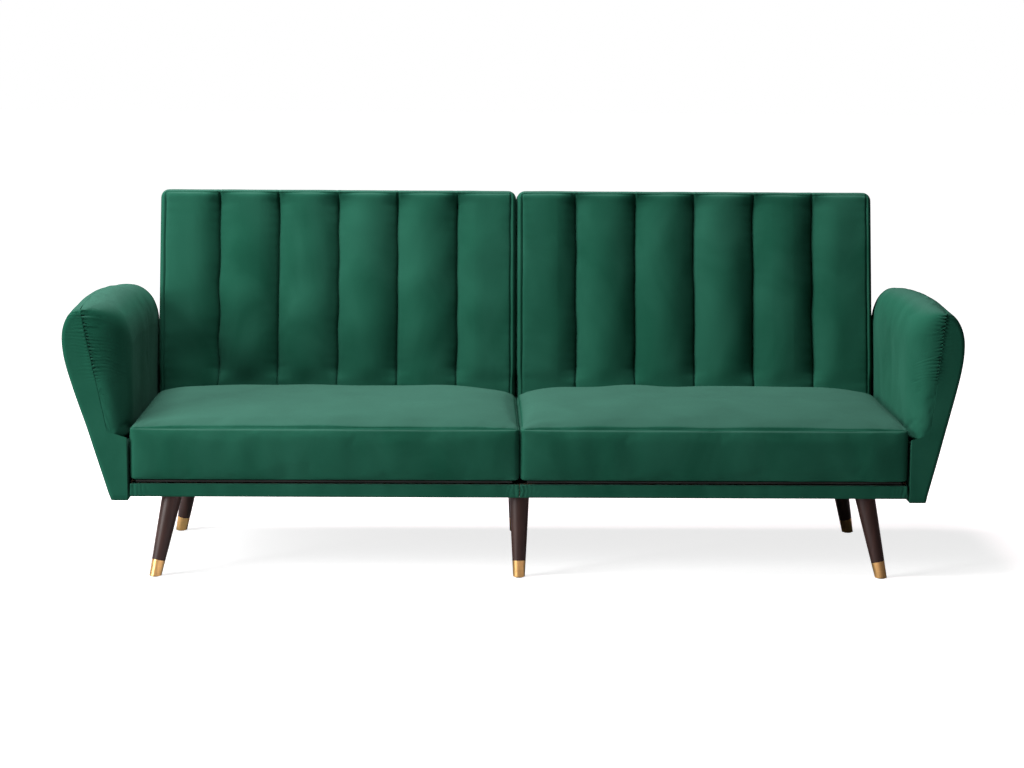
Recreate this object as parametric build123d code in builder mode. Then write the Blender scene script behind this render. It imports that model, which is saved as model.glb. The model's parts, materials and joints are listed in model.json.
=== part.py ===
"""Split-back sofa bed: two seats on one base, two reclining backs, two flared arms, six splayed legs.

The frame has +Z up with the floor at zero, the front of the sofa towards -Y, and +X to the right
when the sofa is seen from the front. All sizes are millimetres.
"""
import os
from math import cos, hypot, radians, sin

from build123d import *

# Seat halves
seat_width = 886.0
centre_gap = 6.0
seat_depth = 545.0
front_reach = 405.0
seat_edge_z = 349.0
seat_crown = 27.0
seat_side_draw = 7.0
seat_corner_drop = 13.0
seat_end_crown = 7.0
seat_end_power = 8

# Legs
leg_length = 187.0
leg_top_diameter = 46.0
leg_tip_diameter = 27.0
leg_inset_side = 89.0
leg_splay_x = 38.0
leg_splay_y = 30.0
leg_inset_front = 48.0
leg_inset_rear = 37.0
ferrule_height = 38.0
ferrule_wall = 1.5
ferrule_floor = 8.0
glide_diameter = 18.0
glide_height = 4.5
glide_stand = 2.0

# Leg plates and their fasteners
plate_screw_edge = 7.0
plate_thickness = 3.0
plate_corner = 3.0
plate_screw_spacing = 42.0
hanger_diameter = 8.0
hanger_in_leg = 30.0
hanger_in_rail = 14.0
screw_diameter = 5.0
screw_head_diameter = 8.0
screw_head_height = 3.0
screw_length = 16.0

# Seat frame
rail_height = 26.0
rail_width = 40.0
rail_setback = 10.0
rail_overhang_rear = 28.0
rail_end_setback = 4.0
corner_block_reach = 41.0
corner_block_width = 50.0
cover_thickness = 4.0
cover_lip = 12.0
dust_cover_thickness = 1.5
dust_cover_inset = 6.0
joining_bolt_diameter = 8.0
joining_bolt_count = 3
bolt_head_height = 5.0
bolt_head_radius = 7.2

# Seat springs and felt
spring_wire = 4.0
spring_count = 4
spring_swing = 60.0
spring_pitch = 46.0
spring_bend = 18.0
spring_straight = 2.0
felt_thickness = 4.0
felt_setback = 14.0

# Backs
back_height = 525.0
back_thickness = 150.0
back_recline = 13.0
back_end_setback = 3.0
back_gap = 6.0
channel_count = 6
channel_bulge = 16.0
back_edge_round = 18.0
back_wrap = 4.0
back_cushion_depth = 74.0
back_board = 25.0
back_rail_lift = 40.0
strap_thickness = 2.0
strap_width = 50.0
strap_count = 4

# Recline hinges
pivot_below_front = 22.0
pivot_above_base = 22.0
pivot_behind_seat = 27.0
hinge_plate = 4.0
hinge_head_radius = 13.0
hinge_gap = 0.5
hinge_pin_diameter = 10.0
hinge_pin_head = 3.0
hinge_pin_head_diameter = 16.0
hinge_flange = 32.0
flange_margin = 2.0
hinge_clearance = 2.0
hinge_channels = (0, 4)
hinge_slot_width = 52.0
ratchet_radius = 14.0
ratchet_notch = 4.0
ratchet_notch_count = 5
pawl_drop = 34.0
pawl_stub_diameter = 6.0
pawl_clearance = 0.6

# Arms
arm_gap = 4.0
arm_bottom_z = 178.0
arm_base_width = 48.0
arm_reach = 137.0
arm_pad_z = 323.0
arm_pad_foot = 42.0
arm_seam_reach = 94.0
arm_seam_z = 612.0
arm_flare_z = 432.0
arm_flare_reach = 116.0
arm_bulge_z = 545.0
arm_flank_bow = 5.0
arm_shoulder_bow = 17.0
arm_roll_z = 525.0
arm_roll_bow = 15.0
arm_crest_reach = 34.0
arm_crest_z = 608.0
arm_crest_bow = 13.0
arm_front_setback = 4.0
arm_length = 665.0
arm_body_round = 10.0
arm_pad_round = 24.0
arm_board = 18.0
arm_board_top = 308.0
arm_board_front = 60.0
arm_board_length = 430.0
arm_bolt_in_board = 14.0
arm_bolt_diameter = 8.0
arm_bolt_count = 3

# Clearances
soft_gap = 0.3
running_gap = 0.05
bolt_gap = 0.2

# Levels and places worked out from the sizes above
plate_size = plate_screw_spacing + 2 * plate_screw_edge
frame_bottom = leg_length + plate_thickness
rail_top = frame_bottom + rail_height
felt_bottom = rail_top + spring_wire
cushion_bottom = felt_bottom + felt_thickness
seat_top_z = seat_edge_z + seat_crown
front_y = -front_reach
seat_rear_y = front_y + seat_depth
seat_inner_x = centre_gap / 2
seat_outer_x = seat_inner_x + seat_width
rail_outer_x = seat_outer_x - rail_end_setback
rail_front_y = front_y + rail_setback
rail_rear_y = seat_rear_y + rail_overhang_rear
arm_inner_x = seat_outer_x + arm_gap
leg_spread_x = rail_outer_x - leg_inset_side
leg_front_y = front_y + leg_inset_front
leg_rear_y = rail_rear_y - leg_inset_rear
back_inner_x = back_gap / 2
back_width = seat_width - back_end_setback
channel_width = back_width / channel_count
pivot_y = seat_rear_y + pivot_behind_seat
pivot_z = seat_top_z - soft_gap - pivot_below_front
back_front = pivot_below_front
back_rear = back_front - back_thickness
back_bottom = -pivot_above_base
back_top = back_bottom + back_height
cushion_rear = back_front - back_cushion_depth
frame_front = cushion_rear - soft_gap - strap_thickness
frame_rear = back_rear + back_wrap + soft_gap
bottom_rail_a = back_bottom + back_rail_lift
hinge_places = [
    back_inner_x + channel_width * (index + 0.5) - hinge_flange / 2 for index in hinge_channels
]

recline = radians(back_recline)
back_plane = Plane(
    origin=(0, pivot_y, pivot_z), x_dir=(1, 0, 0), z_dir=(0, -cos(recline), sin(recline))
)

os.makedirs("parts", exist_ok=True)


def save(piece, name):
    """Label one finished piece and write it as its own file."""
    piece.label = name
    export_step(piece, f"parts/{name}.step")


def save_pair(piece, name):
    """Write the right-hand piece and its mirrored left-hand twin."""
    save(piece, f"{name}_right")
    save(piece.mirror(Plane.YZ), f"{name}_left")


def board(x_range, y_range, z_range, plane=Plane.XY):
    """Straight-sided block between the given limits, measured on a plane."""
    with BuildPart() as block:
        with BuildSketch(plane.offset(z_range[0])):
            with Locations(((x_range[0] + x_range[1]) / 2, (y_range[0] + y_range[1]) / 2)):
                Rectangle(x_range[1] - x_range[0], y_range[1] - y_range[0])
        extrude(amount=z_range[1] - z_range[0])
    return block.part


def spread(count, low, high):
    """Evenly spaced places between two limits, both kept clear by half a step."""
    step = (high - low) / count
    return [low + step * (index + 0.5) for index in range(count)]


# Legs: places of their tops, their lean and the plane at each tip
leg_stations = {
    "front_left": (-leg_spread_x, leg_front_y, -leg_splay_x, -leg_splay_y),
    "front_middle": (0.0, leg_front_y, 0.0, -leg_splay_y),
    "front_right": (leg_spread_x, leg_front_y, leg_splay_x, -leg_splay_y),
    "rear_left": (-leg_spread_x, leg_rear_y, -leg_splay_x, leg_splay_y),
    "rear_middle": (0.0, leg_rear_y, 0.0, leg_splay_y),
    "rear_right": (leg_spread_x, leg_rear_y, leg_splay_x, leg_splay_y),
}


def leg_axis(station):
    """Plane at the leg's tip with its normal up the leg, and the leg's slant length."""
    top_x, top_y, lean_x, lean_y = station
    rise = Vector(-lean_x, -lean_y, leg_length)
    return Plane(origin=(top_x + lean_x, top_y + lean_y, 0), z_dir=rise), rise.length


def leg_radius(distance, slant):
    """Radius of the straight taper at a distance up the leg from its tip."""
    return (leg_tip_diameter + (leg_top_diameter - leg_tip_diameter) * distance / slant) / 2


# Hanger bolts reach from each leg's top up into the rail
hanger_bores = []
with BuildPart() as hanger_bolts:
    for station in leg_stations.values():
        tip_plane, slant = leg_axis(station)
        with BuildSketch(tip_plane.offset(slant - hanger_in_leg)):
            Circle(hanger_diameter / 2)
        extrude(amount=hanger_in_leg + hanger_in_rail)
save(hanger_bolts.part, "leg_hanger_bolts")

for station in leg_stations.values():
    tip_plane, slant = leg_axis(station)
    with BuildPart() as bore:
        with BuildSketch(tip_plane.offset(slant - hanger_in_leg - bolt_gap)):
            Circle(hanger_diameter / 2 + bolt_gap)
        extrude(amount=hanger_in_leg + hanger_in_rail + 2 * bolt_gap)
    hanger_bores.append(bore.part)

# Turned legs with a stepped foot that the ferrule slides over
leg_overrun = leg_top_diameter / 2
for (place, station), bore in zip(leg_stations.items(), hanger_bores):
    tip_plane, slant = leg_axis(station)
    with BuildPart() as leg:
        with BuildSketch(tip_plane.offset(ferrule_height)):
            Circle(leg_radius(ferrule_height, slant))
        with BuildSketch(tip_plane.offset(slant + leg_overrun)):
            Circle(leg_radius(slant + leg_overrun, slant))
        loft()
        with BuildSketch(tip_plane.offset(ferrule_floor)):
            Circle(leg_radius(ferrule_floor, slant) - ferrule_wall)
        with BuildSketch(tip_plane.offset(ferrule_height)):
            Circle(leg_radius(ferrule_height, slant) - ferrule_wall)
        loft()
        split(bisect_by=Plane.XY.offset(leg_length), keep=Keep.BOTTOM)
        add(bore, mode=Mode.SUBTRACT)
    save(leg.part, f"leg_{place}")

# Ferrules: tapered metal cups, cut level at the foot, with a socket for the glide
with BuildPart() as ferrules:
    for station in leg_stations.values():
        tip_plane, slant = leg_axis(station)
        with BuildSketch(tip_plane.offset(-leg_overrun)):
            Circle(leg_radius(-leg_overrun, slant))
        with BuildSketch(tip_plane.offset(ferrule_height)):
            Circle(leg_radius(ferrule_height, slant))
        loft()
    for station in leg_stations.values():
        tip_plane, slant = leg_axis(station)
        with BuildSketch(tip_plane.offset(ferrule_floor)):
            Circle(leg_radius(ferrule_floor, slant) - ferrule_wall)
        with BuildSketch(tip_plane.offset(ferrule_height)):
            Circle(leg_radius(ferrule_height, slant) - ferrule_wall)
        loft(mode=Mode.SUBTRACT)
    split(bisect_by=Plane.XY.offset(glide_stand), keep=Keep.TOP)
    with BuildSketch(Plane.XY):
        with Locations(*[(x + lean_x, y + lean_y) for x, y, lean_x, lean_y in leg_stations.values()]):
            Circle(glide_diameter / 2)
    extrude(amount=glide_height, mode=Mode.SUBTRACT)
save(ferrules.part, "leg_ferrules")

with BuildPart() as glides:
    with BuildSketch(Plane.XY):
        with Locations(*[(x + lean_x, y + lean_y) for x, y, lean_x, lean_y in leg_stations.values()]):
            Circle(glide_diameter / 2)
    extrude(amount=glide_height)
save(glides.part, "foot_glides")

# Leg plates with their screw holes
leg_tops = [(x, y) for x, y, lean_x, lean_y in leg_stations.values()]
plate_screw_places = [
    (x + dx * plate_screw_spacing / 2, y + dy * plate_screw_spacing / 2)
    for x, y in leg_tops for dx in (-1, 1) for dy in (-1, 1)
]
with BuildPart() as leg_plates:
    with BuildSketch(Plane.XY.offset(leg_length)):
        with Locations(*leg_tops):
            RectangleRounded(plate_size, plate_size, plate_corner)
        with Locations(*plate_screw_places):
            Circle(screw_diameter / 2 + bolt_gap, mode=Mode.SUBTRACT)
    extrude(amount=plate_thickness)
    for bore in hanger_bores:
        add(bore, mode=Mode.SUBTRACT)
save(leg_plates.part, "leg_plates")


def screws(plane, places, length):
    """Pan-head screws standing on a plane, heads below it and shanks above."""
    with BuildPart() as group:
        with BuildSketch(plane.offset(-screw_head_height)):
            with Locations(*places):
                Circle(screw_head_diameter / 2)
        extrude(amount=screw_head_height)
        with BuildSketch(plane):
            with Locations(*places):
                Circle(screw_diameter / 2)
        extrude(amount=length)
    return group.part


def screw_bores(plane, places, length):
    """Holes that the screws' shanks pass through."""
    with BuildPart() as group:
        with BuildSketch(plane):
            with Locations(*places):
                Circle(screw_diameter / 2 + bolt_gap)
        extrude(amount=length + bolt_gap)
    return group.part


plate_plane = Plane.XY.offset(leg_length)
save(screws(plate_plane, plate_screw_places, screw_length), "leg_plate_screws")
plate_bores = screw_bores(plate_plane, plate_screw_places, screw_length)

# Hinge seat plates are screwed to the inner face of the rear rail
rail_inner_y = rail_rear_y - rail_width
flange_plane = Plane(origin=(0, rail_inner_y - hinge_plate, 0), x_dir=(1, 0, 0), z_dir=(0, 1, 0))
flange_low_z = frame_bottom + flange_margin
flange_high_z = rail_top - flange_margin
flange_screw_offsets = (hinge_plate + screw_head_diameter, hinge_flange - screw_head_diameter)
flange_screw_places = [
    (x + offset, -(flange_low_z + flange_high_z) / 2)
    for x in hinge_places for offset in flange_screw_offsets
]
seat_screw_bores = screw_bores(flange_plane, flange_screw_places, screw_length)

# Seat rails
spring_places = spread(spring_count, seat_inner_x + rail_width, rail_outer_x - rail_width)
side_bolt_places = spread(arm_bolt_count, rail_front_y + rail_width, rail_inner_y - corner_block_width)
joining_places = spread(joining_bolt_count, rail_front_y + rail_width, rail_inner_y)
rail_mid_z = frame_bottom + rail_height / 2

for name, low_y in (("seat_front_rail", rail_front_y), ("seat_rear_rail", rail_inner_y)):
    with BuildPart() as rail:
        add(board((0, rail_outer_x), (low_y, low_y + rail_width), (frame_bottom, rail_top)))
        for bore in hanger_bores:
            add(bore, mode=Mode.SUBTRACT)
        add(plate_bores, mode=Mode.SUBTRACT)
        add(seat_screw_bores, mode=Mode.SUBTRACT)
    save_pair(rail.part, name)

# Cross rails: the outer one carries the arm, the inner one is bolted to its twin
rail_inside_x = rail_outer_x - rail_width
arm_bolt_plane = Plane(origin=(rail_inside_x, 0, rail_mid_z), x_dir=(0, 1, 0), z_dir=(1, 0, 0))
joining_plane = Plane(origin=(0, 0, rail_mid_z), x_dir=(0, 1, 0), z_dir=(1, 0, 0))
with BuildPart() as cross_rails:
    add(board((0, rail_width), (rail_front_y + rail_width, rail_inner_y), (frame_bottom, rail_top)))
    outer_span = (rail_inside_x, rail_outer_x)
    add(board(outer_span, (rail_front_y + rail_width, rail_inner_y), (frame_bottom, rail_top)))
    with BuildSketch(joining_plane):
        with Locations(*[(y, 0) for y in joining_places]):
            Circle(joining_bolt_diameter / 2 + bolt_gap)
    extrude(amount=rail_width, mode=Mode.SUBTRACT)
    with BuildSketch(arm_bolt_plane):
        with Locations(*[(y, 0) for y in side_bolt_places]):
            Circle(arm_bolt_diameter / 2 + bolt_gap)
    extrude(amount=rail_width, mode=Mode.SUBTRACT)
    add(plate_bores, mode=Mode.SUBTRACT)
    for bore in hanger_bores:
        add(bore, mode=Mode.SUBTRACT)
save_pair(cross_rails.part, "seat_cross_rails")

# Corner blocks behind the outer leg plates
block_x = (leg_spread_x - corner_block_reach, rail_inside_x)
block_spans = (
    (rail_front_y + rail_width, rail_front_y + rail_width + corner_block_width),
    (rail_inner_y - corner_block_width, rail_inner_y),
)
with BuildPart() as blocks:
    for span in block_spans:
        add(board(block_x, span, (frame_bottom, rail_top)))
    add(plate_bores, mode=Mode.SUBTRACT)
    for bore in hanger_bores:
        add(bore, mode=Mode.SUBTRACT)
with BuildPart() as corner_blocks:
    add(blocks.part)
    mirror(blocks.part, about=Plane.YZ)
save(corner_blocks.part, "corner_blocks")

# Joining bolts: a head on one side of the two inner rails and a nut on the other
with BuildPart() as joining_bolts:
    with BuildSketch(joining_plane.offset(-rail_width)):
        with Locations(*[(y, 0) for y in joining_places]):
            Circle(joining_bolt_diameter / 2)
    extrude(amount=2 * rail_width)
    for level in (-rail_width - bolt_head_height, rail_width):
        with BuildSketch(joining_plane.offset(level)):
            with Locations(*[(y, 0) for y in joining_places]):
                RegularPolygon(bolt_head_radius, 6)
        extrude(amount=bolt_head_height)
save(joining_bolts.part, "frame_joining_bolts")

# Fabric-wrapped strips over the front and rear rails
cover_low_z = frame_bottom - cover_thickness
cover_spans = (
    (rail_front_y - cover_thickness, rail_front_y, rail_front_y - cover_thickness + cover_lip),
    (rail_rear_y + cover_thickness, rail_rear_y, rail_rear_y + cover_thickness - cover_lip),
)
with BuildPart() as rail_covers:
    for outer_y, face_y, lip_y in cover_spans:
        with BuildSketch(Plane.YZ.offset(seat_inner_x)):
            with BuildLine():
                Polyline(
                    (outer_y, cover_low_z), (outer_y, rail_top), (face_y, rail_top),
                    (face_y, frame_bottom), (lip_y, frame_bottom), (lip_y, cover_low_z), close=True,
                )
            make_face()
        extrude(amount=rail_outer_x - seat_inner_x)
save_pair(rail_covers.part, "rail_covers")

# Dust cover under the frame, notched round the leg plates
dust_x = (dust_cover_inset, rail_outer_x - dust_cover_inset)
dust_y = (
    rail_front_y - cover_thickness + cover_lip + dust_cover_inset,
    rail_rear_y + cover_thickness - cover_lip - dust_cover_inset,
)
notch_half = plate_size / 2 + dust_cover_inset
with BuildPart() as dust_cover:
    add(board(dust_x, dust_y, (frame_bottom - dust_cover_thickness, frame_bottom)))
    for x, y in leg_tops:
        if x >= 0:
            edge_x = dust_x[0] if x == 0 else dust_x[1]
            edge_y = dust_y[0] if y == leg_front_y else dust_y[1]
            inner_x = x + notch_half if x == 0 else x - notch_half
            inner_y = y + notch_half if y == leg_front_y else y - notch_half
            notch_x = (min(edge_x, inner_x), max(edge_x, inner_x))
            notch_y = (min(edge_y, inner_y), max(edge_y, inner_y))
            notch_z = (frame_bottom - dust_cover_thickness, frame_bottom)
            add(board(notch_x, notch_y, notch_z), mode=Mode.SUBTRACT)
save_pair(dust_cover.part, "dust_cover")

# Serpentine springs from the front rail to the rear rail
spring_front_y = rail_front_y + rail_width / 2
spring_rear_y = rail_inner_y + spring_wire * 2
spring_run_count = int((spring_rear_y - spring_front_y) // spring_pitch)
spring_step = (spring_rear_y - spring_front_y) / spring_run_count
spring_z = rail_top + spring_wire / 2
with BuildPart() as springs:
    for place in spring_places:
        route = []
        for index in range(spring_run_count + 1):
            y = spring_front_y + spring_step * index
            near, far = place - spring_swing / 2, place + spring_swing / 2
            turn = (near, far) if index % 2 == 0 else (far, near)
            route += [(turn[0], y, spring_z), (turn[1], y, spring_z)]
        with BuildLine() as wire:
            FilletPolyline(*route, radius=min(spring_bend, (spring_step - spring_straight) / 2))
        with BuildSketch(Plane(origin=wire.line @ 0, z_dir=wire.line % 0)):
            Circle(spring_wire / 2)
        sweep(path=wire.line)
save_pair(springs.part, "seat_springs")

# Felt between the springs and the cushion
felt_x = (seat_inner_x + felt_setback, seat_outer_x - felt_setback)
felt_y = (front_y + felt_setback, rail_inner_y - hinge_plate - felt_thickness)
save_pair(board(felt_x, felt_y, (felt_bottom, cushion_bottom)), "seat_felt")

# Seat cushions: sections across the width, drawn in towards both ends, with a crowned top
seat_stations = (0.0, 0.02, 0.07, 0.2, 0.5, 0.8, 0.93, 0.98, 1.0)


def seat_fullness(share):
    """How full the cushion is at a share of its width: a flattened dome, zero at both ends."""
    return 1 - abs(2 * share - 1) ** seat_end_power


with BuildPart() as seat_cushion:
    for share in seat_stations:
        full = seat_fullness(share)
        draw = seat_side_draw * (1 - full)
        front = front_y + draw
        rear = seat_rear_y - draw
        seam_front = front + seat_side_draw
        seam_rear = rear - seat_side_draw
        edge = seat_edge_z - seat_corner_drop * (1 - full)
        crown = edge + seat_end_crown + (seat_crown - seat_end_crown) * full
        middle_y = (front + rear) / 2
        middle_z = (cushion_bottom + edge) / 2
        with BuildSketch(Plane.YZ.offset(seat_inner_x + seat_width * share)):
            with BuildLine():
                Line((seam_front, cushion_bottom), (seam_rear, cushion_bottom))
                ThreePointArc((seam_rear, cushion_bottom), (rear, middle_z), (seam_rear, edge))
                ThreePointArc((seam_rear, edge), (middle_y, crown), (seam_front, edge))
                ThreePointArc((seam_front, edge), (front, middle_z), (seam_front, cushion_bottom))
            make_face()
    loft(ruled=True)
save_pair(seat_cushion.part, "seat_cushion")

# Hinge seat plates: a flange on the rear rail, a web up to the pivot and a stub for the pawl
web_gap = hinge_plate + hinge_gap
pawl_z = pivot_z - pawl_drop
with BuildPart() as seat_plates:
    for x in hinge_places:
        with BuildSketch(Plane.YZ.offset(x)):
            with BuildLine():
                Polyline(
                    (pivot_y - hinge_head_radius, pivot_z),
                    (seat_rear_y + hinge_clearance, cushion_bottom + hinge_gap),
                    (rail_inner_y - hinge_plate, cushion_bottom - hinge_clearance),
                    (rail_inner_y - hinge_plate, flange_low_z),
                    (rail_inner_y, flange_low_z),
                    (rail_inner_y, rail_top + soft_gap),
                    (pivot_y, rail_top + soft_gap),
                    (pivot_y + hinge_head_radius, pivot_z),
                )
                ThreePointArc(
                    (pivot_y + hinge_head_radius, pivot_z),
                    (pivot_y, pivot_z + hinge_head_radius),
                    (pivot_y - hinge_head_radius, pivot_z),
                )
            make_face()
        extrude(amount=hinge_plate)
        flange_y = (rail_inner_y - hinge_plate, rail_inner_y)
        add(board((x, x + hinge_flange), flange_y, (flange_low_z, flange_high_z)))
        with BuildSketch(Plane.YZ.offset(x - web_gap)):
            with Locations((pivot_y, pawl_z)):
                Circle(pawl_stub_diameter / 2)
        extrude(amount=web_gap)
    add(seat_screw_bores, mode=Mode.SUBTRACT)
    with BuildSketch(Plane.YZ):
        with Locations((pivot_y, pivot_z)):
            Circle(hinge_pin_diameter / 2 + running_gap)
    extrude(amount=seat_outer_x, mode=Mode.SUBTRACT)
with BuildPart() as all_seat_plates:
    add(seat_plates.part)
    mirror(seat_plates.part, about=Plane.YZ)
save(all_seat_plates.part, "hinge_seat_plates")

seat_screws = screws(flange_plane, flange_screw_places, screw_length)
with BuildPart() as all_seat_screws:
    add(seat_screws)
    mirror(seat_screws, about=Plane.YZ)
save(all_seat_screws.part, "hinge_seat_screws")

# Pawls: small fingers on the stubs, standing just clear of the ratchet wheels
with BuildPart() as pawls:
    for x in hinge_places:
        with BuildSketch(Plane.YZ.offset(x - web_gap)):
            finger_top = pivot_z - ratchet_radius - pawl_clearance
            with Locations((pivot_y, (pawl_z + finger_top) / 2)):
                Rectangle(pawl_stub_diameter, finger_top - pawl_z)
            with Locations((pivot_y, pawl_z)):
                Circle(pawl_stub_diameter)
                Circle(pawl_stub_diameter / 2 + running_gap, mode=Mode.SUBTRACT)
        extrude(amount=hinge_plate)
save_pair(pawls.part, "hinge_pawls")

# Ratchet wheels and hinge pins turn with the back
with BuildPart() as ratchets:
    for x in hinge_places:
        with BuildSketch(Plane.YZ.offset(x - web_gap)):
            with Locations((pivot_y, pivot_z)):
                Circle(ratchet_radius)
                Circle(hinge_pin_diameter / 2 + running_gap, mode=Mode.SUBTRACT)
                with PolarLocations(ratchet_radius, ratchet_notch_count, -90, 180):
                    Circle(ratchet_notch / 2, mode=Mode.SUBTRACT)
        extrude(amount=hinge_plate)
save_pair(ratchets.part, "hinge_ratchets")

pin_span = 3 * hinge_plate + 3 * hinge_gap
with BuildPart() as pins:
    for x in hinge_places:
        pin_start = x - web_gap - hinge_gap / 2
        with BuildSketch(Plane.YZ.offset(pin_start)):
            with Locations((pivot_y, pivot_z)):
                Circle(hinge_pin_diameter / 2)
        extrude(amount=pin_span)
        for head_x in (pin_start - hinge_pin_head, pin_start + pin_span):
            with BuildSketch(Plane.YZ.offset(head_x)):
                with Locations((pivot_y, pivot_z)):
                    Circle(hinge_pin_head_diameter / 2)
            extrude(amount=hinge_pin_head)
save_pair(pins.part, "hinge_pins")

# Hinge back arms: a web from the pivot to a flange under the back's bottom rail
arm_end = frame_rear + hinge_head_radius
arm_flange_a = bottom_rail_a - hinge_plate
along_back = (0, sin(recline), cos(recline))
flange_origin = back_plane.from_local_coords(Vector(0, arm_flange_a, 0))
back_screw_plane = Plane(origin=flange_origin, x_dir=(1, 0, 0), z_dir=along_back)
back_screw_levels = spread(2, -frame_front, -arm_end)
back_screw_places = [
    (x + web_gap + offset, level)
    for x in hinge_places for offset in flange_screw_offsets for level in back_screw_levels
]
back_screw_bores = screw_bores(back_screw_plane, back_screw_places, screw_length)
with BuildPart() as back_arms:
    for x in hinge_places:
        web_plane = Plane(origin=(x + web_gap, pivot_y, pivot_z), x_dir=along_back, z_dir=(1, 0, 0))
        with BuildSketch(web_plane):
            with BuildLine():
                Polyline(
                    (hinge_head_radius, 0), (bottom_rail_a, frame_front), (bottom_rail_a, arm_end),
                    (0, arm_end), (-hinge_head_radius, 0),
                )
                ThreePointArc((-hinge_head_radius, 0), (0, hinge_head_radius), (hinge_head_radius, 0))
            make_face()
            Circle(hinge_pin_diameter / 2 + running_gap, mode=Mode.SUBTRACT)
        extrude(amount=hinge_plate)
        flange_x = (x + web_gap, x + web_gap + hinge_flange)
        add(board(flange_x, (arm_flange_a, bottom_rail_a), (arm_end, frame_front), back_plane))
    add(back_screw_bores, mode=Mode.SUBTRACT)
save_pair(back_arms.part, "hinge_back_arms")
save_pair(screws(back_screw_plane, back_screw_places, screw_length), "hinge_back_screws")

# Back frames
back_outer_x = back_inner_x + back_width
frame_x = (back_inner_x + back_wrap + soft_gap, back_outer_x - back_wrap - soft_gap)
frame_n = (frame_rear, frame_front)
top_rail_a = back_top - back_wrap - soft_gap - back_board
stile_a = (bottom_rail_a + back_board, top_rail_a)
with BuildPart() as bottom_rail:
    add(board(frame_x, (bottom_rail_a, bottom_rail_a + back_board), frame_n, back_plane))
    add(back_screw_bores, mode=Mode.SUBTRACT)
save_pair(bottom_rail.part, "back_bottom_rail")
save_pair(board(frame_x, (top_rail_a, top_rail_a + back_board), frame_n, back_plane), "back_top_rail")
with BuildPart() as stiles:
    for low_x in (frame_x[0], frame_x[1] - back_board):
        add(board((low_x, low_x + back_board), stile_a, frame_n, back_plane))
save_pair(stiles.part, "back_stiles")

# Elastic straps across the frame, behind the cushion
with BuildPart() as straps:
    for middle in spread(strap_count, *stile_a):
        strap_a = (middle - strap_width / 2, middle + strap_width / 2)
        add(board(frame_x, strap_a, (frame_front, frame_front + strap_thickness), back_plane))
save_pair(straps.part, "back_straps")

# Slots in the lower edge of the back, which leave room for the hinges
slot_front = ratchet_radius + hinge_clearance
slot_overrun = back_wrap
with BuildPart() as hinge_slots:
    for x in hinge_places:
        slot_low_x = x + hinge_flange / 2 - hinge_slot_width / 2
        slot_x = (slot_low_x, slot_low_x + hinge_slot_width)
        slot_a = (back_bottom - slot_overrun, bottom_rail_a)
        add(board(slot_x, slot_a, (back_rear - slot_overrun, slot_front), back_plane))

# Back cover: a rear panel and boxing strips sewn round the frame, open towards the cushion
strip_n = (back_rear + back_wrap, cushion_rear - soft_gap)
cover_x = (back_inner_x, back_outer_x)
side_a = (back_bottom + back_wrap, back_top - back_wrap)
with BuildPart() as back_cover:
    add(board(cover_x, (back_bottom, back_top), (back_rear, back_rear + back_wrap), back_plane))
    add(hinge_slots.part, mode=Mode.SUBTRACT)
cover_strips = [
    (cover_x, (back_top - back_wrap, back_top)),
    (cover_x, (back_bottom, back_bottom + back_wrap)),
    ((cover_x[0], cover_x[0] + back_wrap), side_a),
    ((cover_x[1] - back_wrap, cover_x[1]), side_a),
]
cover_panels = [back_cover.part]
for strip_x, strip_a in cover_strips:
    with BuildPart() as strip:
        add(board(strip_x, strip_a, strip_n, back_plane))
        add(hinge_slots.part, mode=Mode.SUBTRACT)
    cover_panels.append(strip.part)
save_pair(Compound([solid for panel in cover_panels for solid in panel.solids()]), "back_cover")

# Back cushions: upright channels between sewn valleys, with the top and bottom edges rolled over
edge_turns = (0.0, 30.0, 60.0, 90.0)
edge_insets = [back_edge_round * (1 - sin(radians(turn))) for turn in edge_turns]
edge_steps = [back_edge_round * (1 - cos(radians(turn))) for turn in edge_turns]
cushion_sections = [(back_bottom + step, inset) for step, inset in zip(edge_steps, edge_insets)]
cushion_sections += [(back_top - step, inset) for step, inset in zip(edge_steps[::-1], edge_insets[::-1])]
with BuildPart() as back_cushion:
    for level, inset in cushion_sections:
        section_origin = back_plane.from_local_coords(Vector(0, level, 0))
        section_plane = Plane(
            origin=section_origin, x_dir=(1, 0, 0), z_dir=(0, -sin(recline), -cos(recline))
        )
        low_x = back_inner_x + inset / 2
        high_x = back_outer_x - inset / 2
        step = (high_x - low_x) / channel_count
        valley = back_front - channel_bulge - inset
        with BuildSketch(section_plane):
            with BuildLine():
                Polyline(
                    (high_x, valley), (high_x, cushion_rear), (low_x, cushion_rear), (low_x, valley)
                )
                for index in range(channel_count):
                    start = low_x + step * index
                    ThreePointArc(
                        (start, valley), (start + step / 2, valley + channel_bulge), (start + step, valley)
                    )
            make_face()
    loft(ruled=True)
    add(hinge_slots.part, mode=Mode.SUBTRACT)
save_pair(back_cushion.part, "back_cushion")

# Arms: a flared band that rises from a narrow foot, with a puffed pad on its inner side
arm_front_y = front_y + arm_front_setback
arm_rear_y = arm_front_y + arm_length
arm_foot_x = arm_inner_x + arm_base_width
arm_flare_x = arm_inner_x + arm_flare_reach
arm_outer_x = arm_inner_x + arm_reach
arm_seam_x = arm_inner_x + arm_seam_reach
arm_pad_x = arm_inner_x + arm_pad_foot


def end_stations(round_size):
    """Places along the arm and the inset of the section there, rolled over at both ends."""
    turns = [radians(turn) for turn in edge_turns]
    front = [(arm_front_y + round_size * (1 - cos(turn)), round_size * (1 - sin(turn))) for turn in turns]
    rear = [(arm_front_y + arm_rear_y - y, inset) for y, inset in reversed(front)]
    return front + rear


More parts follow.
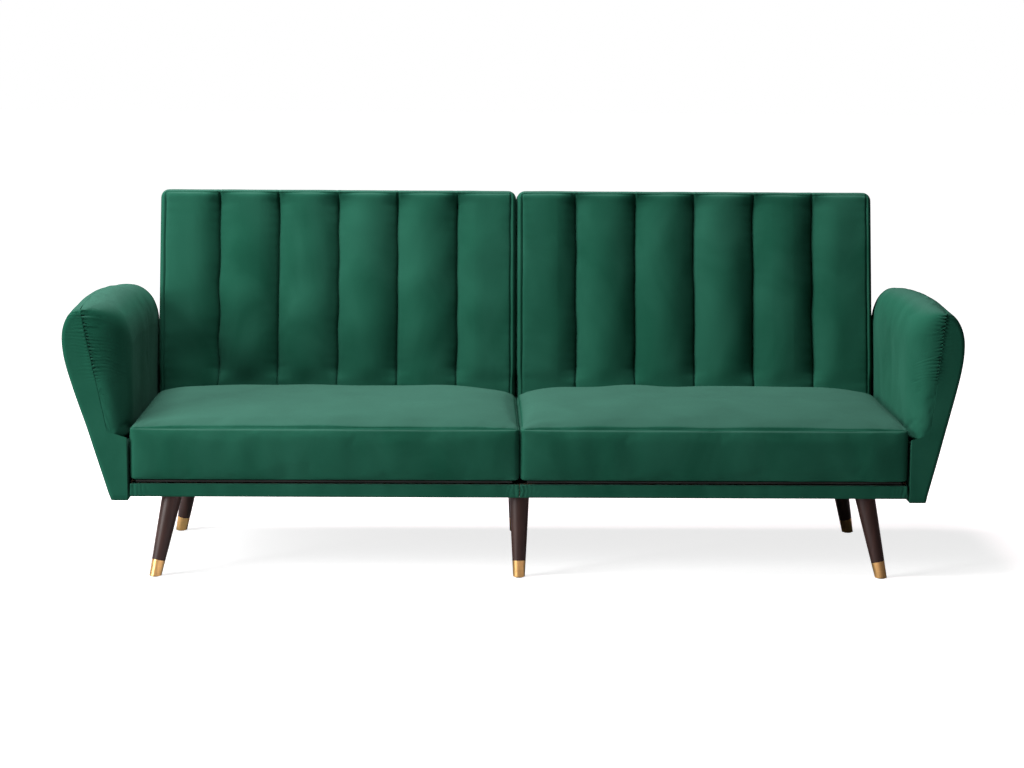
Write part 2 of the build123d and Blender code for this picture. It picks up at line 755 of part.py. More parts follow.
def bowed(start, end, bow):
    """Middle point of an arc that stands off its chord by a bow, to the left of the way along it."""
    along = (end[0] - start[0], end[1] - start[1])
    length = hypot(*along)
    middle = ((start[0] + end[0]) / 2, (start[1] + end[1]) / 2)
    return middle[0] - bow * along[1] / length, middle[1] + bow * along[0] / length


def seam_at(level):
    """Place on the slanted seam between the band and the pad at a height."""
    share = (level - arm_pad_z) / (arm_seam_z - arm_pad_z)
    return arm_pad_x + (arm_seam_x - arm_pad_x) * share, level


# Arm boards: a thick foot against the seat's outer rail and a thinner upright inside the arm
arm_board_y = (arm_front_y + arm_board_front, arm_front_y + arm_board_front + arm_board_length)
with BuildPart() as plain_arm_board:
    add(board((rail_outer_x, arm_inner_x + arm_board), arm_board_y, (frame_bottom, rail_top)))
    add(board((arm_inner_x, arm_inner_x + arm_board), arm_board_y, (rail_top, arm_board_top)))
arm_bolt_length = rail_width + rail_end_setback + arm_gap + arm_bolt_in_board
with BuildPart() as bored_arm_board:
    add(plain_arm_board.part)
    with BuildSketch(arm_bolt_plane):
        with Locations(*[(y, 0) for y in side_bolt_places]):
            Circle(arm_bolt_diameter / 2 + bolt_gap)
    extrude(amount=arm_bolt_length + bolt_gap, mode=Mode.SUBTRACT)
save_pair(bored_arm_board.part, "arm_board")

with BuildPart() as arm_bolts:
    with BuildSketch(arm_bolt_plane):
        with Locations(*[(y, 0) for y in side_bolt_places]):
            Circle(arm_bolt_diameter / 2)
    extrude(amount=arm_bolt_length)
    with BuildSketch(arm_bolt_plane.offset(-bolt_head_height)):
        with Locations(*[(y, 0) for y in side_bolt_places]):
            RegularPolygon(bolt_head_radius, 6)
    extrude(amount=bolt_head_height)
with BuildPart() as all_arm_bolts:
    add(arm_bolts.part)
    mirror(arm_bolts.part, about=Plane.YZ)
save(all_arm_bolts.part, "arm_bolts")

with BuildPart() as arm_body:
    for y, inset in end_stations(arm_body_round):
        heel = (arm_inner_x, arm_bottom_z + inset)
        foot = (arm_foot_x - inset, arm_bottom_z + inset)
        flare = (arm_flare_x - inset, arm_flare_z)
        bulge = (arm_outer_x - inset, arm_bulge_z)
        seam = seam_at(arm_seam_z - inset)
        with BuildSketch(Plane.XZ.offset(-y)):
            with BuildLine():
                Polyline(seam, (arm_pad_x, arm_pad_z), (arm_inner_x, arm_pad_z), heel, foot, flare)
                ThreePointArc(flare, bowed(flare, bulge, -arm_flank_bow), bulge)
                ThreePointArc(bulge, bowed(bulge, seam, -arm_shoulder_bow), seam)
            make_face()
    loft(ruled=True)
    add(plain_arm_board.part, mode=Mode.SUBTRACT)
save_pair(arm_body.part, "arm_body")

with BuildPart() as arm_pad:
    for y, inset in end_stations(arm_pad_round):
        seam_x, seam_z = seam_at(arm_seam_z - inset)
        seam = (seam_x - soft_gap, seam_z)
        foot = (arm_pad_x - soft_gap, arm_pad_z + soft_gap)
        heel = (arm_inner_x + inset, arm_pad_z + soft_gap)
        roll = (arm_inner_x + inset, arm_roll_z - inset)
        crest = (arm_inner_x + arm_crest_reach + inset, arm_crest_z - inset)
        with BuildSketch(Plane.XZ.offset(-y)):
            with BuildLine():
                Polyline(seam, foot, heel, roll)
                ThreePointArc(roll, bowed(roll, crest, arm_roll_bow), crest)
                ThreePointArc(crest, bowed(crest, seam, arm_crest_bow), seam)
            make_face()
    loft(ruled=True)
save_pair(arm_pad.part, "arm_pad")
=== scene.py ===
"""Looks of a split-back sofa bed: padded velvet over the frame, turned legs, hidden hardware.

Right-hand pieces are shaped first, in metres in the frame's own axes, and mirrored for the left.
"""

import json

import bpy
import numpy as np
from mathutils import Matrix, Vector


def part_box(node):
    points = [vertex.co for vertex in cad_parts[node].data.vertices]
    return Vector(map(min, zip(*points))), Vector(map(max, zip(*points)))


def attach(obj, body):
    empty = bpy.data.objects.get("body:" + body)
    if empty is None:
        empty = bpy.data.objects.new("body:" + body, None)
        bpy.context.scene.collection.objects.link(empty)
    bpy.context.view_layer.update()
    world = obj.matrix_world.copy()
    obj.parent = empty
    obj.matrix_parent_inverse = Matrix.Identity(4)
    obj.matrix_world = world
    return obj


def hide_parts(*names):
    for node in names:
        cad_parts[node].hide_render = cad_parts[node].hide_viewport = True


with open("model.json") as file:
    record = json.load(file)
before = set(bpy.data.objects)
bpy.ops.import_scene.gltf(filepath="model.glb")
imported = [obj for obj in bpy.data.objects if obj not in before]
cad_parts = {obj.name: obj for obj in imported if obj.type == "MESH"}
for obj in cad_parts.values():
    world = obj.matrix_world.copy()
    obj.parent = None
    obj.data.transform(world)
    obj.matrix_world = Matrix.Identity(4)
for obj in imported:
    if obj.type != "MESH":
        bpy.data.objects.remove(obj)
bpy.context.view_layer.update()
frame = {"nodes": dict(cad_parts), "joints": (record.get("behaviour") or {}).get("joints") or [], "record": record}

bl_info = {
    "name": "Split-back sofa bed",
    "version": (1, 0, 0),
    "blender": (4, 5, 0),
    "location": "3D View > Sidebar > Sofa",
    "description": "Builds the padded pieces, finishes and studio of a sofa bed with two reclining backs",
    "category": "Object",
}

SIDES = (("right", 1.0), ("left", -1.0))
SEEDS = {  # random draws of the right-hand and the left-hand piece
    "seat": (11, 16), "back": (31, 38), "shell": (71, 72), "pad": (91, 94), "band": (111, 114),
    "wrap_front": (132, 134), "wrap_rear": (131, 133),
}
ON_FACE = 0.9999  # share of the way past which a grid point lies on a face of its box
ON_EDGE = 0.0001  # share or distance below which a grid point lies on an edge
CLOTH_STEPS = 20  # frames of each cloth simulation
PAINTED_SHEEN_SLOPE = (0.45, 0.97)  # upward part of the normal where the painted sheen starts and where it is full
# strength of the painted sheen, a paler colour mixed into upward faces
PAINTED_SHEEN_STRENGTH = 0.6
SEAM_WIDTH = 0.0022  # half width of a sewn groove


class SofaShape(bpy.types.PropertyGroup):
    """Sizes of the padded pieces."""

    seat_crown: bpy.props.FloatProperty(
        name="Seat crown", description="Rise of the seat's top above its seam",
        default=0.034, unit="LENGTH")
    seat_rise: bpy.props.FloatProperty(
        name="Seat seam", description="How far the seam lies below the packed cushion's top",
        default=0.031, unit="LENGTH")
    seat_lip: bpy.props.FloatProperty(
        name="Seat lip", description="How far the lower front edge hangs over the springs",
        default=0.001, unit="LENGTH")
    seam_depth: bpy.props.FloatProperty(
        name="Seam depth", description="Depth of the sewn groove round the seat's top",
        default=0.0035, unit="LENGTH")
    seat_bulge: bpy.props.FloatProperty(
        name="Seat bulge", description="How far the seat's sides stand out between their seams",
        default=0.006, unit="LENGTH")
    channel_count: bpy.props.IntProperty(
        name="Channels", description="Upright channels in each back", default=6)
    channel_depth: bpy.props.FloatProperty(
        name="Channel depth", description="Depth of the sewn valleys between channels",
        default=0.031, unit="LENGTH")
    border: bpy.props.FloatProperty(
        name="Border", description="Width of the strip outside the outermost seam of a back",
        default=0.0105, unit="LENGTH")
    border_top: bpy.props.FloatProperty(
        name="Top border", description="Width of the strip above the upper seam of a back",
        default=0.007, unit="LENGTH")
    back_round: bpy.props.FloatProperty(
        name="Back edge", description="Radius of the back's rolled edges", default=0.022, unit="LENGTH")
    shell_round: bpy.props.FloatProperty(
        name="Shell edge", description="Radius of the rear shell's upper corners",
        default=0.012, unit="LENGTH")
    shell_gap: bpy.props.FloatProperty(
        name="Shell gap", description="How far the rear shell stays inside the cushion beside the arm",
        default=0.0025, unit="LENGTH")
    back_lean: bpy.props.FloatProperty(
        name="Back lean", description="Slope of the upright back from the vertical",
        subtype="ANGLE", default=0.2268928)
    back_x: bpy.props.FloatVectorProperty(
        name="Back width limits", description="Inner and outer side of the right-hand back",
        size=2, unit="LENGTH", default=(0.0004, 0.8885))
    back_up: bpy.props.FloatVectorProperty(
        name="Back height limits", description="Lower and upper edge, measured up the back from its pivot",
        size=2, unit="LENGTH", default=(-0.022, 0.503))
    back_out: bpy.props.FloatVectorProperty(
        name="Back cushion limits", description="Rear and front of the cushion, measured out of the back",
        size=2, unit="LENGTH", default=(-0.052, 0.022))
    shell_rear: bpy.props.FloatProperty(
        name="Shell rear", description="Rear face of the back, measured from its pivot",
        default=-0.130, unit="LENGTH")
    slot_starts: bpy.props.FloatVectorProperty(
        name="Hinge slots", description="Inner side of each slot over a hinge",
        size=2, unit="LENGTH", default=(0.0506, 0.6393))
    slot_width: bpy.props.FloatProperty(
        name="Slot width", description="Width of a hinge slot", default=0.052, unit="LENGTH")
    slot_top: bpy.props.FloatProperty(
        name="Slot top", description="Upper end of a hinge slot", default=0.018, unit="LENGTH")
    slot_front: bpy.props.FloatProperty(
        name="Slot front", description="Front end of a hinge slot", default=0.0155, unit="LENGTH")
    gather_depth: bpy.props.FloatProperty(
        name="Gather depth", description="Height of the small folds along the arm seam",
        default=0.0046, unit="LENGTH")
    gather_length: bpy.props.FloatVectorProperty(
        name="Gather length", description="Reach of the small folds from the seam, right and left arm",
        size=2, unit="LENGTH", default=(0.009, 0.017))
    gather_pitch: bpy.props.FloatProperty(
        name="Gather pitch", description="Distance from one small fold to the next",
        default=0.0078, unit="LENGTH")
    seam_foot: bpy.props.FloatVectorProperty(
        name="Arm seam foot", description="Lower end of the arm seam, across and up",
        size=2, unit="LENGTH", default=(0.935, 0.323))
    seam_head: bpy.props.FloatVectorProperty(
        name="Arm seam head", description="Upper end of the arm seam, across and up",
        size=2, unit="LENGTH", default=(0.987, 0.616))
    flare: bpy.props.FloatVectorProperty(
        name="Arm flare", description="Where the straight flare of the arm ends, across and up",
        size=2, unit="LENGTH", default=(1.009, 0.432))
    bulge: bpy.props.FloatVectorProperty(
        name="Arm bulge", description="Widest place of the arm, across and up",
        size=2, unit="LENGTH", default=(1.0305, 0.545))
    base_outer: bpy.props.FloatProperty(
        name="Arm foot", description="Outer side of the arm at its lower edge",
        default=0.932, unit="LENGTH")
    roll_height: bpy.props.FloatProperty(
        name="Pad roll", description="Where the inner side of the arm pad starts to roll over",
        default=0.525, unit="LENGTH")
    pad_crest_share: bpy.props.FloatProperty(
        name="Pad crest", description="Place of the pad's crest between its inner side and the seam",
        default=0.7)
    pad_round: bpy.props.FloatProperty(
        name="Pad end", description="How far the pad's top drops at its rolled ends",
        default=0.020, unit="LENGTH")
    pad_draw: bpy.props.FloatVectorProperty(
        name="Pad draw", description="Share of its width that the pad draws back at its ends, low and high",
        size=2, default=(0.8, 0.95))
    pad_roll_depth: bpy.props.FloatVectorProperty(
        name="Pad roll depth", description="Length of the rolled front and rear ends along the arm",
        size=2, unit="LENGTH", default=(0.085, 0.035))
    pad_fall: bpy.props.FloatProperty(
        name="Pad fall", description="How far the pad's top falls from its front to its rear",
        default=0.017, unit="LENGTH")
    pad_arch: bpy.props.FloatProperty(
        name="Pad arch", description="Rise of the pad's top in the middle of its length",
        default=0.018, unit="LENGTH")
    arm_lean: bpy.props.FloatVectorProperty(
        name="Arm lean", description="How much further out the right and the left arm lean",
        size=2, unit="LENGTH", default=(-0.020, 0.008))
    band_round: bpy.props.FloatProperty(
        name="Band end", description="Radius of the band's rolled ends", default=0.010, unit="LENGTH")
    wrap_reach: bpy.props.FloatProperty(
        name="Wrap reach", description="How far the cloth closes the gap between the two frames",
        default=0.0024, unit="LENGTH")
    wrap_crown: bpy.props.FloatProperty(
        name="Wrap crown", description="How far the cloth stands above the packed rail cover",
        default=0.0005, unit="LENGTH")
    wrap_bend: bpy.props.FloatProperty(
        name="Wrap bend", description="Radius of the fold under a rail", default=0.006, unit="LENGTH")
    wrap_lip: bpy.props.FloatProperty(
        name="Wrap lip", description="Width of the cloth turned under a rail",
        default=0.012, unit="LENGTH")


class SofaFinish(bpy.types.PropertyGroup):
    """Colours of the finishes, as linear values."""

    velvet_deep: bpy.props.FloatVectorProperty(
        name="Velvet, deep", description="Pile seen along its lie", subtype="COLOR",
        size=3, default=(0.0062, 0.047, 0.0280))
    velvet_light: bpy.props.FloatVectorProperty(
        name="Velvet, light", description="Pile brushed the other way", subtype="COLOR",
        size=3, default=(0.0110, 0.065, 0.0410))
    # Painted sheen: a paler colour mixed into the velvet where it faces up, standing in for the sheen of the light
    # from above
    velvet_painted_sheen: bpy.props.FloatVectorProperty(
        name="Velvet, bloom", description="Pile on top, where it stands open to the light",
        subtype="COLOR", size=3, default=(0.026, 0.074, 0.056))
    leg_wood: bpy.props.FloatVectorProperty(
        name="Leg wood", description="Dark stain of the legs", subtype="COLOR",
        size=3, default=(0.024, 0.0105, 0.0080))
    ferrule: bpy.props.FloatVectorProperty(
        name="Ferrule", description="Brushed gold of the leg tips", subtype="COLOR",
        size=3, default=(0.70, 0.44, 0.17))


class SofaStage(bpy.types.PropertyGroup):
    """Camera, light and floor."""

    eye: bpy.props.FloatVectorProperty(
        name="Camera place", description="Where the camera stands", subtype="TRANSLATION",
        size=3, default=(-0.111, -6.328, 1.269))
    pitch: bpy.props.FloatProperty(
        name="Pitch", description="Camera tilt below the horizon", subtype="ANGLE", default=0.13736)
    yaw: bpy.props.FloatProperty(
        name="Yaw", description="Camera turn towards +X", subtype="ANGLE", default=0.01553)
    roll: bpy.props.FloatProperty(
        name="Roll", description="Camera roll", subtype="ANGLE", default=0.00628)
    lens: bpy.props.FloatProperty(
        name="Lens", description="Focal length in millimetres", default=92.7)
    key_place: bpy.props.FloatVectorProperty(
        name="Key place", description="Where the light at the left stands", subtype="TRANSLATION",
        size=3, default=(-3.7, -2.1, 1.7))
    key_power: bpy.props.FloatProperty(
        name="Key light", description="Power of the light at the left", default=280.0)
    top_place: bpy.props.FloatVectorProperty(
        name="Top place", description="Where the light overhead hangs", subtype="TRANSLATION",
        size=3, default=(-1.0, 0.1, 3.6))
    top_power: bpy.props.FloatProperty(
        name="Top light", description="Power of the light overhead", default=430.0)
    floor_lift: bpy.props.FloatProperty(
        name="Floor lift", description="Glow that only the camera sees on the floor by the sofa",
        default=0.80)
    floor_reach: bpy.props.FloatVectorProperty(
        name="Floor reach", description="Where the floor starts to brighten, and where it is all white",
        size=2, unit="LENGTH", default=(1.1, 2.4))
    top_tint: bpy.props.FloatVectorProperty(
        name="Top tint", description="Colour of the light overhead", subtype="COLOR",
        size=3, default=(1.0, 0.82, 0.86))
    room_light: bpy.props.FloatProperty(
        name="Room light", description="Strength of the even light from all round", default=0.03)


# Shared surface tools

def spaced(low, high, count, ease=0.0):
    """Places from low to high: an even run blended with a cosine run that crowds towards both ends."""
    share = np.linspace(0.0, 1.0, count)
    return low + (high - low) * ((1 - ease) * share + ease * (1 - np.cos(np.pi * share)) / 2)


def edged(low, high, count):
    """Places from low to high: an even run, with a few close together beside both ends."""
    close = np.array([0.0, 0.0008, 0.0018, 0.0032, 0.005, 0.0075, 0.011])
    middle = np.linspace(low + close[-1], high - close[-1], count)[1:-1]
    return np.concatenate([low + close, middle, (high - close)[::-1]])


def box_lattice(xs, ys, zs):
    """Closed box whose six faces are grids at the given places: points, and quads that face outwards."""
    counts = (len(xs), len(ys), len(zs))
    codes, quads, offset = [], [], 0
    for axis in range(3):
        u, v = (axis + 1) % 3, (axis + 2) % 3
        for end in (0, counts[axis] - 1):
            index = np.zeros((counts[u], counts[v], 3), int)
            index[..., axis] = end
            index[..., u] = np.arange(counts[u])[:, None]
            index[..., v] = np.arange(counts[v])[None, :]
            codes.append(((index[..., 0] * counts[1] + index[..., 1]) * counts[2] + index[..., 2]).ravel())
            ids = offset + np.arange(counts[u] * counts[v]).reshape(counts[u], counts[v])
            quad = np.stack([ids[:-1, :-1], ids[1:, :-1], ids[1:, 1:], ids[:-1, 1:]], -1).reshape(-1, 4)
            quads.append(quad if end else quad[:, ::-1])
            offset += ids.size
    unique, inverse = np.unique(np.concatenate(codes), return_inverse=True)
    places = np.stack([
        np.asarray(xs)[unique // (counts[1] * counts[2])],
        np.asarray(ys)[unique // counts[2] % counts[1]],
        np.asarray(zs)[unique % counts[2]],
    ], 1)
    return places, inverse[np.concatenate(quads)]


def round_over(points, low, high, radius_low, radius_high):
    """Rounded box: what stands outside the box shrunk by the radii is drawn from a cube onto a ball."""
    low, high = np.asarray(low), np.asarray(high)
    radius_low, radius_high = np.asarray(radius_low), np.asarray(radius_high)
    core = np.clip(points, low + radius_low, high - radius_high)
    radius = np.where(points < core, radius_low, radius_high)
    step = np.divide(points - core, radius, out=np.zeros_like(points), where=radius > 0)
    length = np.linalg.norm(step, axis=1, keepdims=True)
    largest = np.abs(step).max(axis=1, keepdims=True)
    return core + step * radius * np.divide(largest, length, out=np.ones_like(length), where=length > 0)


def normals_of(points, quads):
    """Unit normal at each point: the sum of the cross products of the diagonals of its quads."""
    corner = points[quads]
    cross = np.cross(corner[:, 2] - corner[:, 0], corner[:, 3] - corner[:, 1])
    total = np.zeros_like(points)
    np.add.at(total, quads, cross[:, None, :])
    length = np.linalg.norm(total, axis=1, keepdims=True)
    return total / np.maximum(length, 1e-12)


def ripple(points, wavelength, seed, count=9):
    """Soft random relief between about -1 and 1: a sum of sine waves in random directions."""
    draw = np.random.default_rng(seed)
    way = draw.normal(size=(count, 3))
    way /= np.linalg.norm(way, axis=1, keepdims=True)
    pitch = 2 * np.pi / (wavelength * draw.uniform(0.7, 1.5, count))
    phase = draw.uniform(0, 2 * np.pi, count)
    return np.sin(points @ (way * pitch[:, None]).T + phase).sum(1) / np.sqrt(count)


def smooth_step(low, high, values):
    """Zero below low, one above high, an S curve between."""
    share = np.clip((values - low) / (high - low), 0, 1)
    return share * share * (3 - 2 * share)


def make_piece(name, points, quads, side, body, nodes, slot):
    """Mesh piece from points and outward quads, mirrored for the left, riding on a body. It stands for
    the given nodes, and its painted_sheen attribute says how far each point faces up, for a painted sheen."""
    if side < 0:
        points = points * np.array([-1.0, 1.0, 1.0])
        quads = quads[:, ::-1]
    mesh = bpy.data.meshes.new(name)
    mesh.from_pydata(points.tolist(), [], quads.tolist())
    mesh.polygons.foreach_set("use_smooth", np.ones(len(mesh.polygons), bool))
    # painted sheen: how far each point faces up, for a paler colour on upward faces
    painted_sheen = mesh.attributes.new("painted_sheen", "FLOAT", "POINT")
    painted_sheen.data.foreach_set("value", smooth_step(*PAINTED_SHEEN_SLOPE, normals_of(points, quads)[:, 2]))
    mesh.update()
    piece = bpy.data.objects.new(name, mesh)
    bpy.context.scene.collection.objects.link(piece)
    piece.data.materials.append(FINISHES[slot])
    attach(piece, body)
    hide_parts(*nodes)
    return piece


def inflate(piece, pinned, pressure, growth, cap):
    """Cloth simulation under even pressure: the seams are pinned, the cloth is a little too large for
    its outline, and each point keeps at most the cap of its movement."""
    start = np.empty(len(piece.data.vertices) * 3)
    piece.data.vertices.foreach_get("co", start)
    start = start.reshape(-1, 3)
    group = piece.vertex_groups.new(name="seams")
    group.add(np.flatnonzero(pinned).tolist(), 1.0, "REPLACE")
    cloth = piece.modifiers.new("cloth", "CLOTH")
    cloth.settings.quality = 4
    cloth.settings.mass = 0.3
    cloth.settings.tension_stiffness = 12
    cloth.settings.compression_stiffness = 12
    cloth.settings.shear_stiffness = 6
    cloth.settings.bending_stiffness = 0.4
    cloth.settings.air_damping = 4
    cloth.settings.use_pressure = True
    cloth.settings.uniform_pressure_force = pressure
    cloth.settings.shrink_min = -growth
    cloth.settings.vertex_group_mass = group.name
    cloth.settings.effector_weights.gravity = 0
    cloth.collision_settings.use_collision = False
    cloth.point_cache.frame_start = 1
    cloth.point_cache.frame_end = CLOTH_STEPS
    scene = bpy.context.scene
    for step in range(1, CLOTH_STEPS + 1):
        scene.frame_set(step)
    shown = piece.evaluated_get(bpy.context.evaluated_depsgraph_get())
    moved = np.empty(len(start) * 3)
    shown.data.vertices.foreach_get("co", moved)
    shift = moved.reshape(-1, 3) - start
    length = np.linalg.norm(shift, axis=1, keepdims=True)
    shift *= np.minimum(1, cap / np.maximum(length, 1e-9))
    piece.modifiers.remove(cloth)
    piece.vertex_groups.remove(group)
    scene.frame_set(1)
    piece.data.vertices.foreach_set("co", (start + shift).ravel())
    piece.data.update()


def refine(piece):
    """One level of subdivision, the same in the view and in the render."""
    steps = piece.modifiers.new("subdivision", "SUBSURF")
    steps.levels = 1
    steps.render_levels = 1


# Finishes

FINISHES = {}
SHARP_ANGLE = 0.6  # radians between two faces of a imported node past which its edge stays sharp


def set_values(node, values):
    """Constant values on a node's input sockets, given by name or number."""
    for socket, value in values.items():
        node.inputs[socket].default_value = value


def add_node(tree, kind, values=(), **settings):
    """Adds a shader node to a tree, with its settings and the values of its input sockets."""
    node = tree.nodes.new("ShaderNode" + kind)
    for name, setting in settings.items():
        setattr(node, name, setting)
    set_values(node, dict(values))
    return node


def grain_group():
    """Node group: object coordinates to a broad tone and a fine height, both as random relief."""
    group = bpy.data.node_groups.new("surface_grain", "ShaderNodeTree")
    for name, default in (("Broad Scale", 9.0), ("Fine Scale", 900.0), ("Stretch", 1.0)):
        socket = group.interface.new_socket(name, in_out="INPUT", socket_type="NodeSocketFloat")
        socket.default_value = default
    for name in ("Tone", "Height"):
        group.interface.new_socket(name, in_out="OUTPUT", socket_type="NodeSocketFloat")
    inlet = group.nodes.new("NodeGroupInput")
    outlet = group.nodes.new("NodeGroupOutput")
    place = add_node(group, "TexCoord")
    stretch = add_node(group, "CombineXYZ", {"X": 1.0, "Y": 1.0})
    scaled = add_node(group, "VectorMath", operation="MULTIPLY")
    broad = add_node(group, "TexNoise", {"Detail": 4.0, "Distortion": 0.8})
    fine = add_node(group, "TexNoise", {"Detail": 2.0})
    ramp = add_node(group, "MapRange", {"From Min": 0.3, "From Max": 0.7})
    for output, socket in (
        (inlet.outputs["Stretch"], stretch.inputs["Z"]),
        (place.outputs["Object"], scaled.inputs[0]),
        (stretch.outputs["Vector"], scaled.inputs[1]),
        (scaled.outputs["Vector"], broad.inputs["Vector"]),
        (scaled.outputs["Vector"], fine.inputs["Vector"]),
        (inlet.outputs["Broad Scale"], broad.inputs["Scale"]),
        (inlet.outputs["Fine Scale"], fine.inputs["Scale"]),
        (broad.outputs["Fac"], ramp.inputs["Value"]),
        (ramp.outputs["Result"], outlet.inputs["Tone"]),
        (fine.outputs["Fac"], outlet.inputs["Height"]),
    ):
        group.links.new(output, socket)


def grained(slot, deep, light, broad, fine, stretch, relief):
    """Finish for one slot of the record: its colour drifts between two tones, and its surface has a fine
    random relief. Returns its shader."""
    material = bpy.data.materials.new(slot)
    material.use_nodes = True
    FINISHES[slot] = material
    tree = material.node_tree
    shader = tree.nodes["Principled BSDF"]
    grain = add_node(tree, "Group", {"Broad Scale": broad, "Fine Scale": fine, "Stretch": stretch},
                     node_tree=bpy.data.node_groups["surface_grain"])
    mix = add_node(tree, "Mix", {"A": (*deep, 1.0), "B": (*light, 1.0)}, data_type="RGBA")
    bump = add_node(tree, "Bump", {"Strength": 0.5, "Distance": relief})
    tree.links.new(grain.outputs["Tone"], mix.inputs["Factor"])
    tree.links.new(mix.outputs["Result"], shader.inputs["Base Color"])
    tree.links.new(grain.outputs["Height"], bump.inputs["Height"])
    tree.links.new(bump.outputs["Normal"], shader.inputs["Normal"])
    return shader


def add_painted_sheen(shader, colour, strength):
    """Mixes a paler colour into the finish where the piece's painted_sheen attribute is high: painted sheen on the
    faces that turn up to the light.
    """
    tree = shader.id_data
    ground = shader.inputs["Base Color"].links[0].from_socket
    painted_sheen = add_node(tree, "Attribute", attribute_name="painted_sheen")
    amount = add_node(tree, "Math", {1: strength}, operation="MULTIPLY")
    mix = add_node(tree, "Mix", {"B": (*colour, 1.0)}, data_type="RGBA")
    tree.links.new(painted_sheen.outputs["Fac"], amount.inputs[0])
    tree.links.new(amount.outputs["Value"], mix.inputs["Factor"])
    tree.links.new(ground, mix.inputs["A"])
    tree.links.new(mix.outputs["Result"], shader.inputs["Base Color"])


def shades(colour, spread):
    """A darker and a lighter neighbour of a colour."""
    return tuple(c * (1 - spread) for c in colour), tuple(c * (1 + spread) for c in colour)


def make_finishes(finish):
    """All materials of the sofa."""
    grain_group()
    velvet = grained("velvet", finish.velvet_deep, finish.velvet_light,
                     broad=7.0, fine=1100.0, stretch=0.6, relief=0.0006)
    # painted sheen: a paler colour mixed into the velvet where it faces up
    add_painted_sheen(velvet, finish.velvet_painted_sheen, PAINTED_SHEEN_STRENGTH)
    set_values(velvet, {
        "Roughness": 0.8, "Specular IOR Level": 0.0,
        "Sheen Weight": 0.03, "Sheen Roughness": 0.4, "Sheen Tint": (0.30, 0.78, 0.60, 1.0)})
    wood = grained("leg_wood", *shades(finish.leg_wood, 0.35),
                   broad=60.0, fine=500.0, stretch=0.08, relief=0.0002)
    set_values(wood, {
        "Roughness": 0.42, "Specular IOR Level": 0.25, "Coat Weight": 0.05, "Coat Roughness": 0.25})
    gold = grained("ferrule_gold", *shades(finish.ferrule, 0.06),
                   broad=30.0, fine=900.0, stretch=12.0, relief=0.00005)
    set_values(gold, {"Metallic": 1.0, "Roughness": 0.32})
    for slot, colour, rough, metal in (
        ("glide_plastic", (0.02, 0.02, 0.02), 0.5, 0.0),
        ("zinc_steel", (0.55, 0.56, 0.58), 0.35, 1.0),
        ("hinge_steel", (0.05, 0.05, 0.055), 0.4, 0.8),
        ("spring_steel", (0.35, 0.36, 0.38), 0.3, 1.0),
        # felt near black as painted shade, so the edge under each seat's front reads as a dark gap
        ("felt", (0.004, 0.005, 0.004), 0.95, 0.0),
        ("dust_cloth", (0.009, 0.009, 0.009), 0.95, 0.0),
        ("webbing", (0.06, 0.06, 0.065), 0.9, 0.0),
        ("frame_wood", (0.16, 0.10, 0.055), 0.65, 0.0),
    ):
        shader = grained(slot, *shades(colour, 0.12), broad=25.0, fine=800.0, stretch=0.5, relief=0.0002)
        set_values(shader, {"Roughness": rough, "Metallic": metal})


class SOFA_OT_finishes(bpy.types.Operator):
    """Every finish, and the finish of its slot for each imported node."""

    bl_idname = "sofa.finishes"
    bl_label = "Finishes"

    def execute(self, context):
        make_finishes(context.scene.sofa_finish)
        for entry in frame["record"]["subparts"]:
            mesh = frame["nodes"][entry["node"]].data
            mesh.materials.clear()
            mesh.materials.append(FINISHES[entry["material_slot"]])
            mesh.polygons.foreach_set("use_smooth", np.ones(len(mesh.polygons), bool))
            mesh.set_sharp_from_angle(angle=SHARP_ANGLE)
        return {"FINISHED"}


# Seats

SEAT_GRID = (96, 60, 14)  # even grid steps across, along and up
SEAT_PRESS = 0.0018  # how far a seat presses over the middle
SEAT_GAP = 0.002  # clearance below and behind a seat
SEAT_CORNER = 0.014  # radius of the upright corners
SEAT_FOOT = 0.007  # radius of the lower edges
SEAT_LIP_RUN = (0.045, 0.02)  # distance from the front where the lip starts and where it is full
SEAT_RELIEF = (0.0013, 0.17)  # height and wavelength of the soft relief
SEAT_FOLDS = (0.0009, 0.05)  # height and wavelength of the upright folds in the front
SEAT_STITCH = (0.0005, 0.021, 0.008)  # height, pitch and reach of the pulls beside the seam


def dome(share, power=2.6, sharpness=0.55):
    """Flattened dome over -1 to 1: steep at the rim, nearly level in the middle."""
    return np.clip(1 - np.abs(share) ** power, 0, 1) ** sharpness


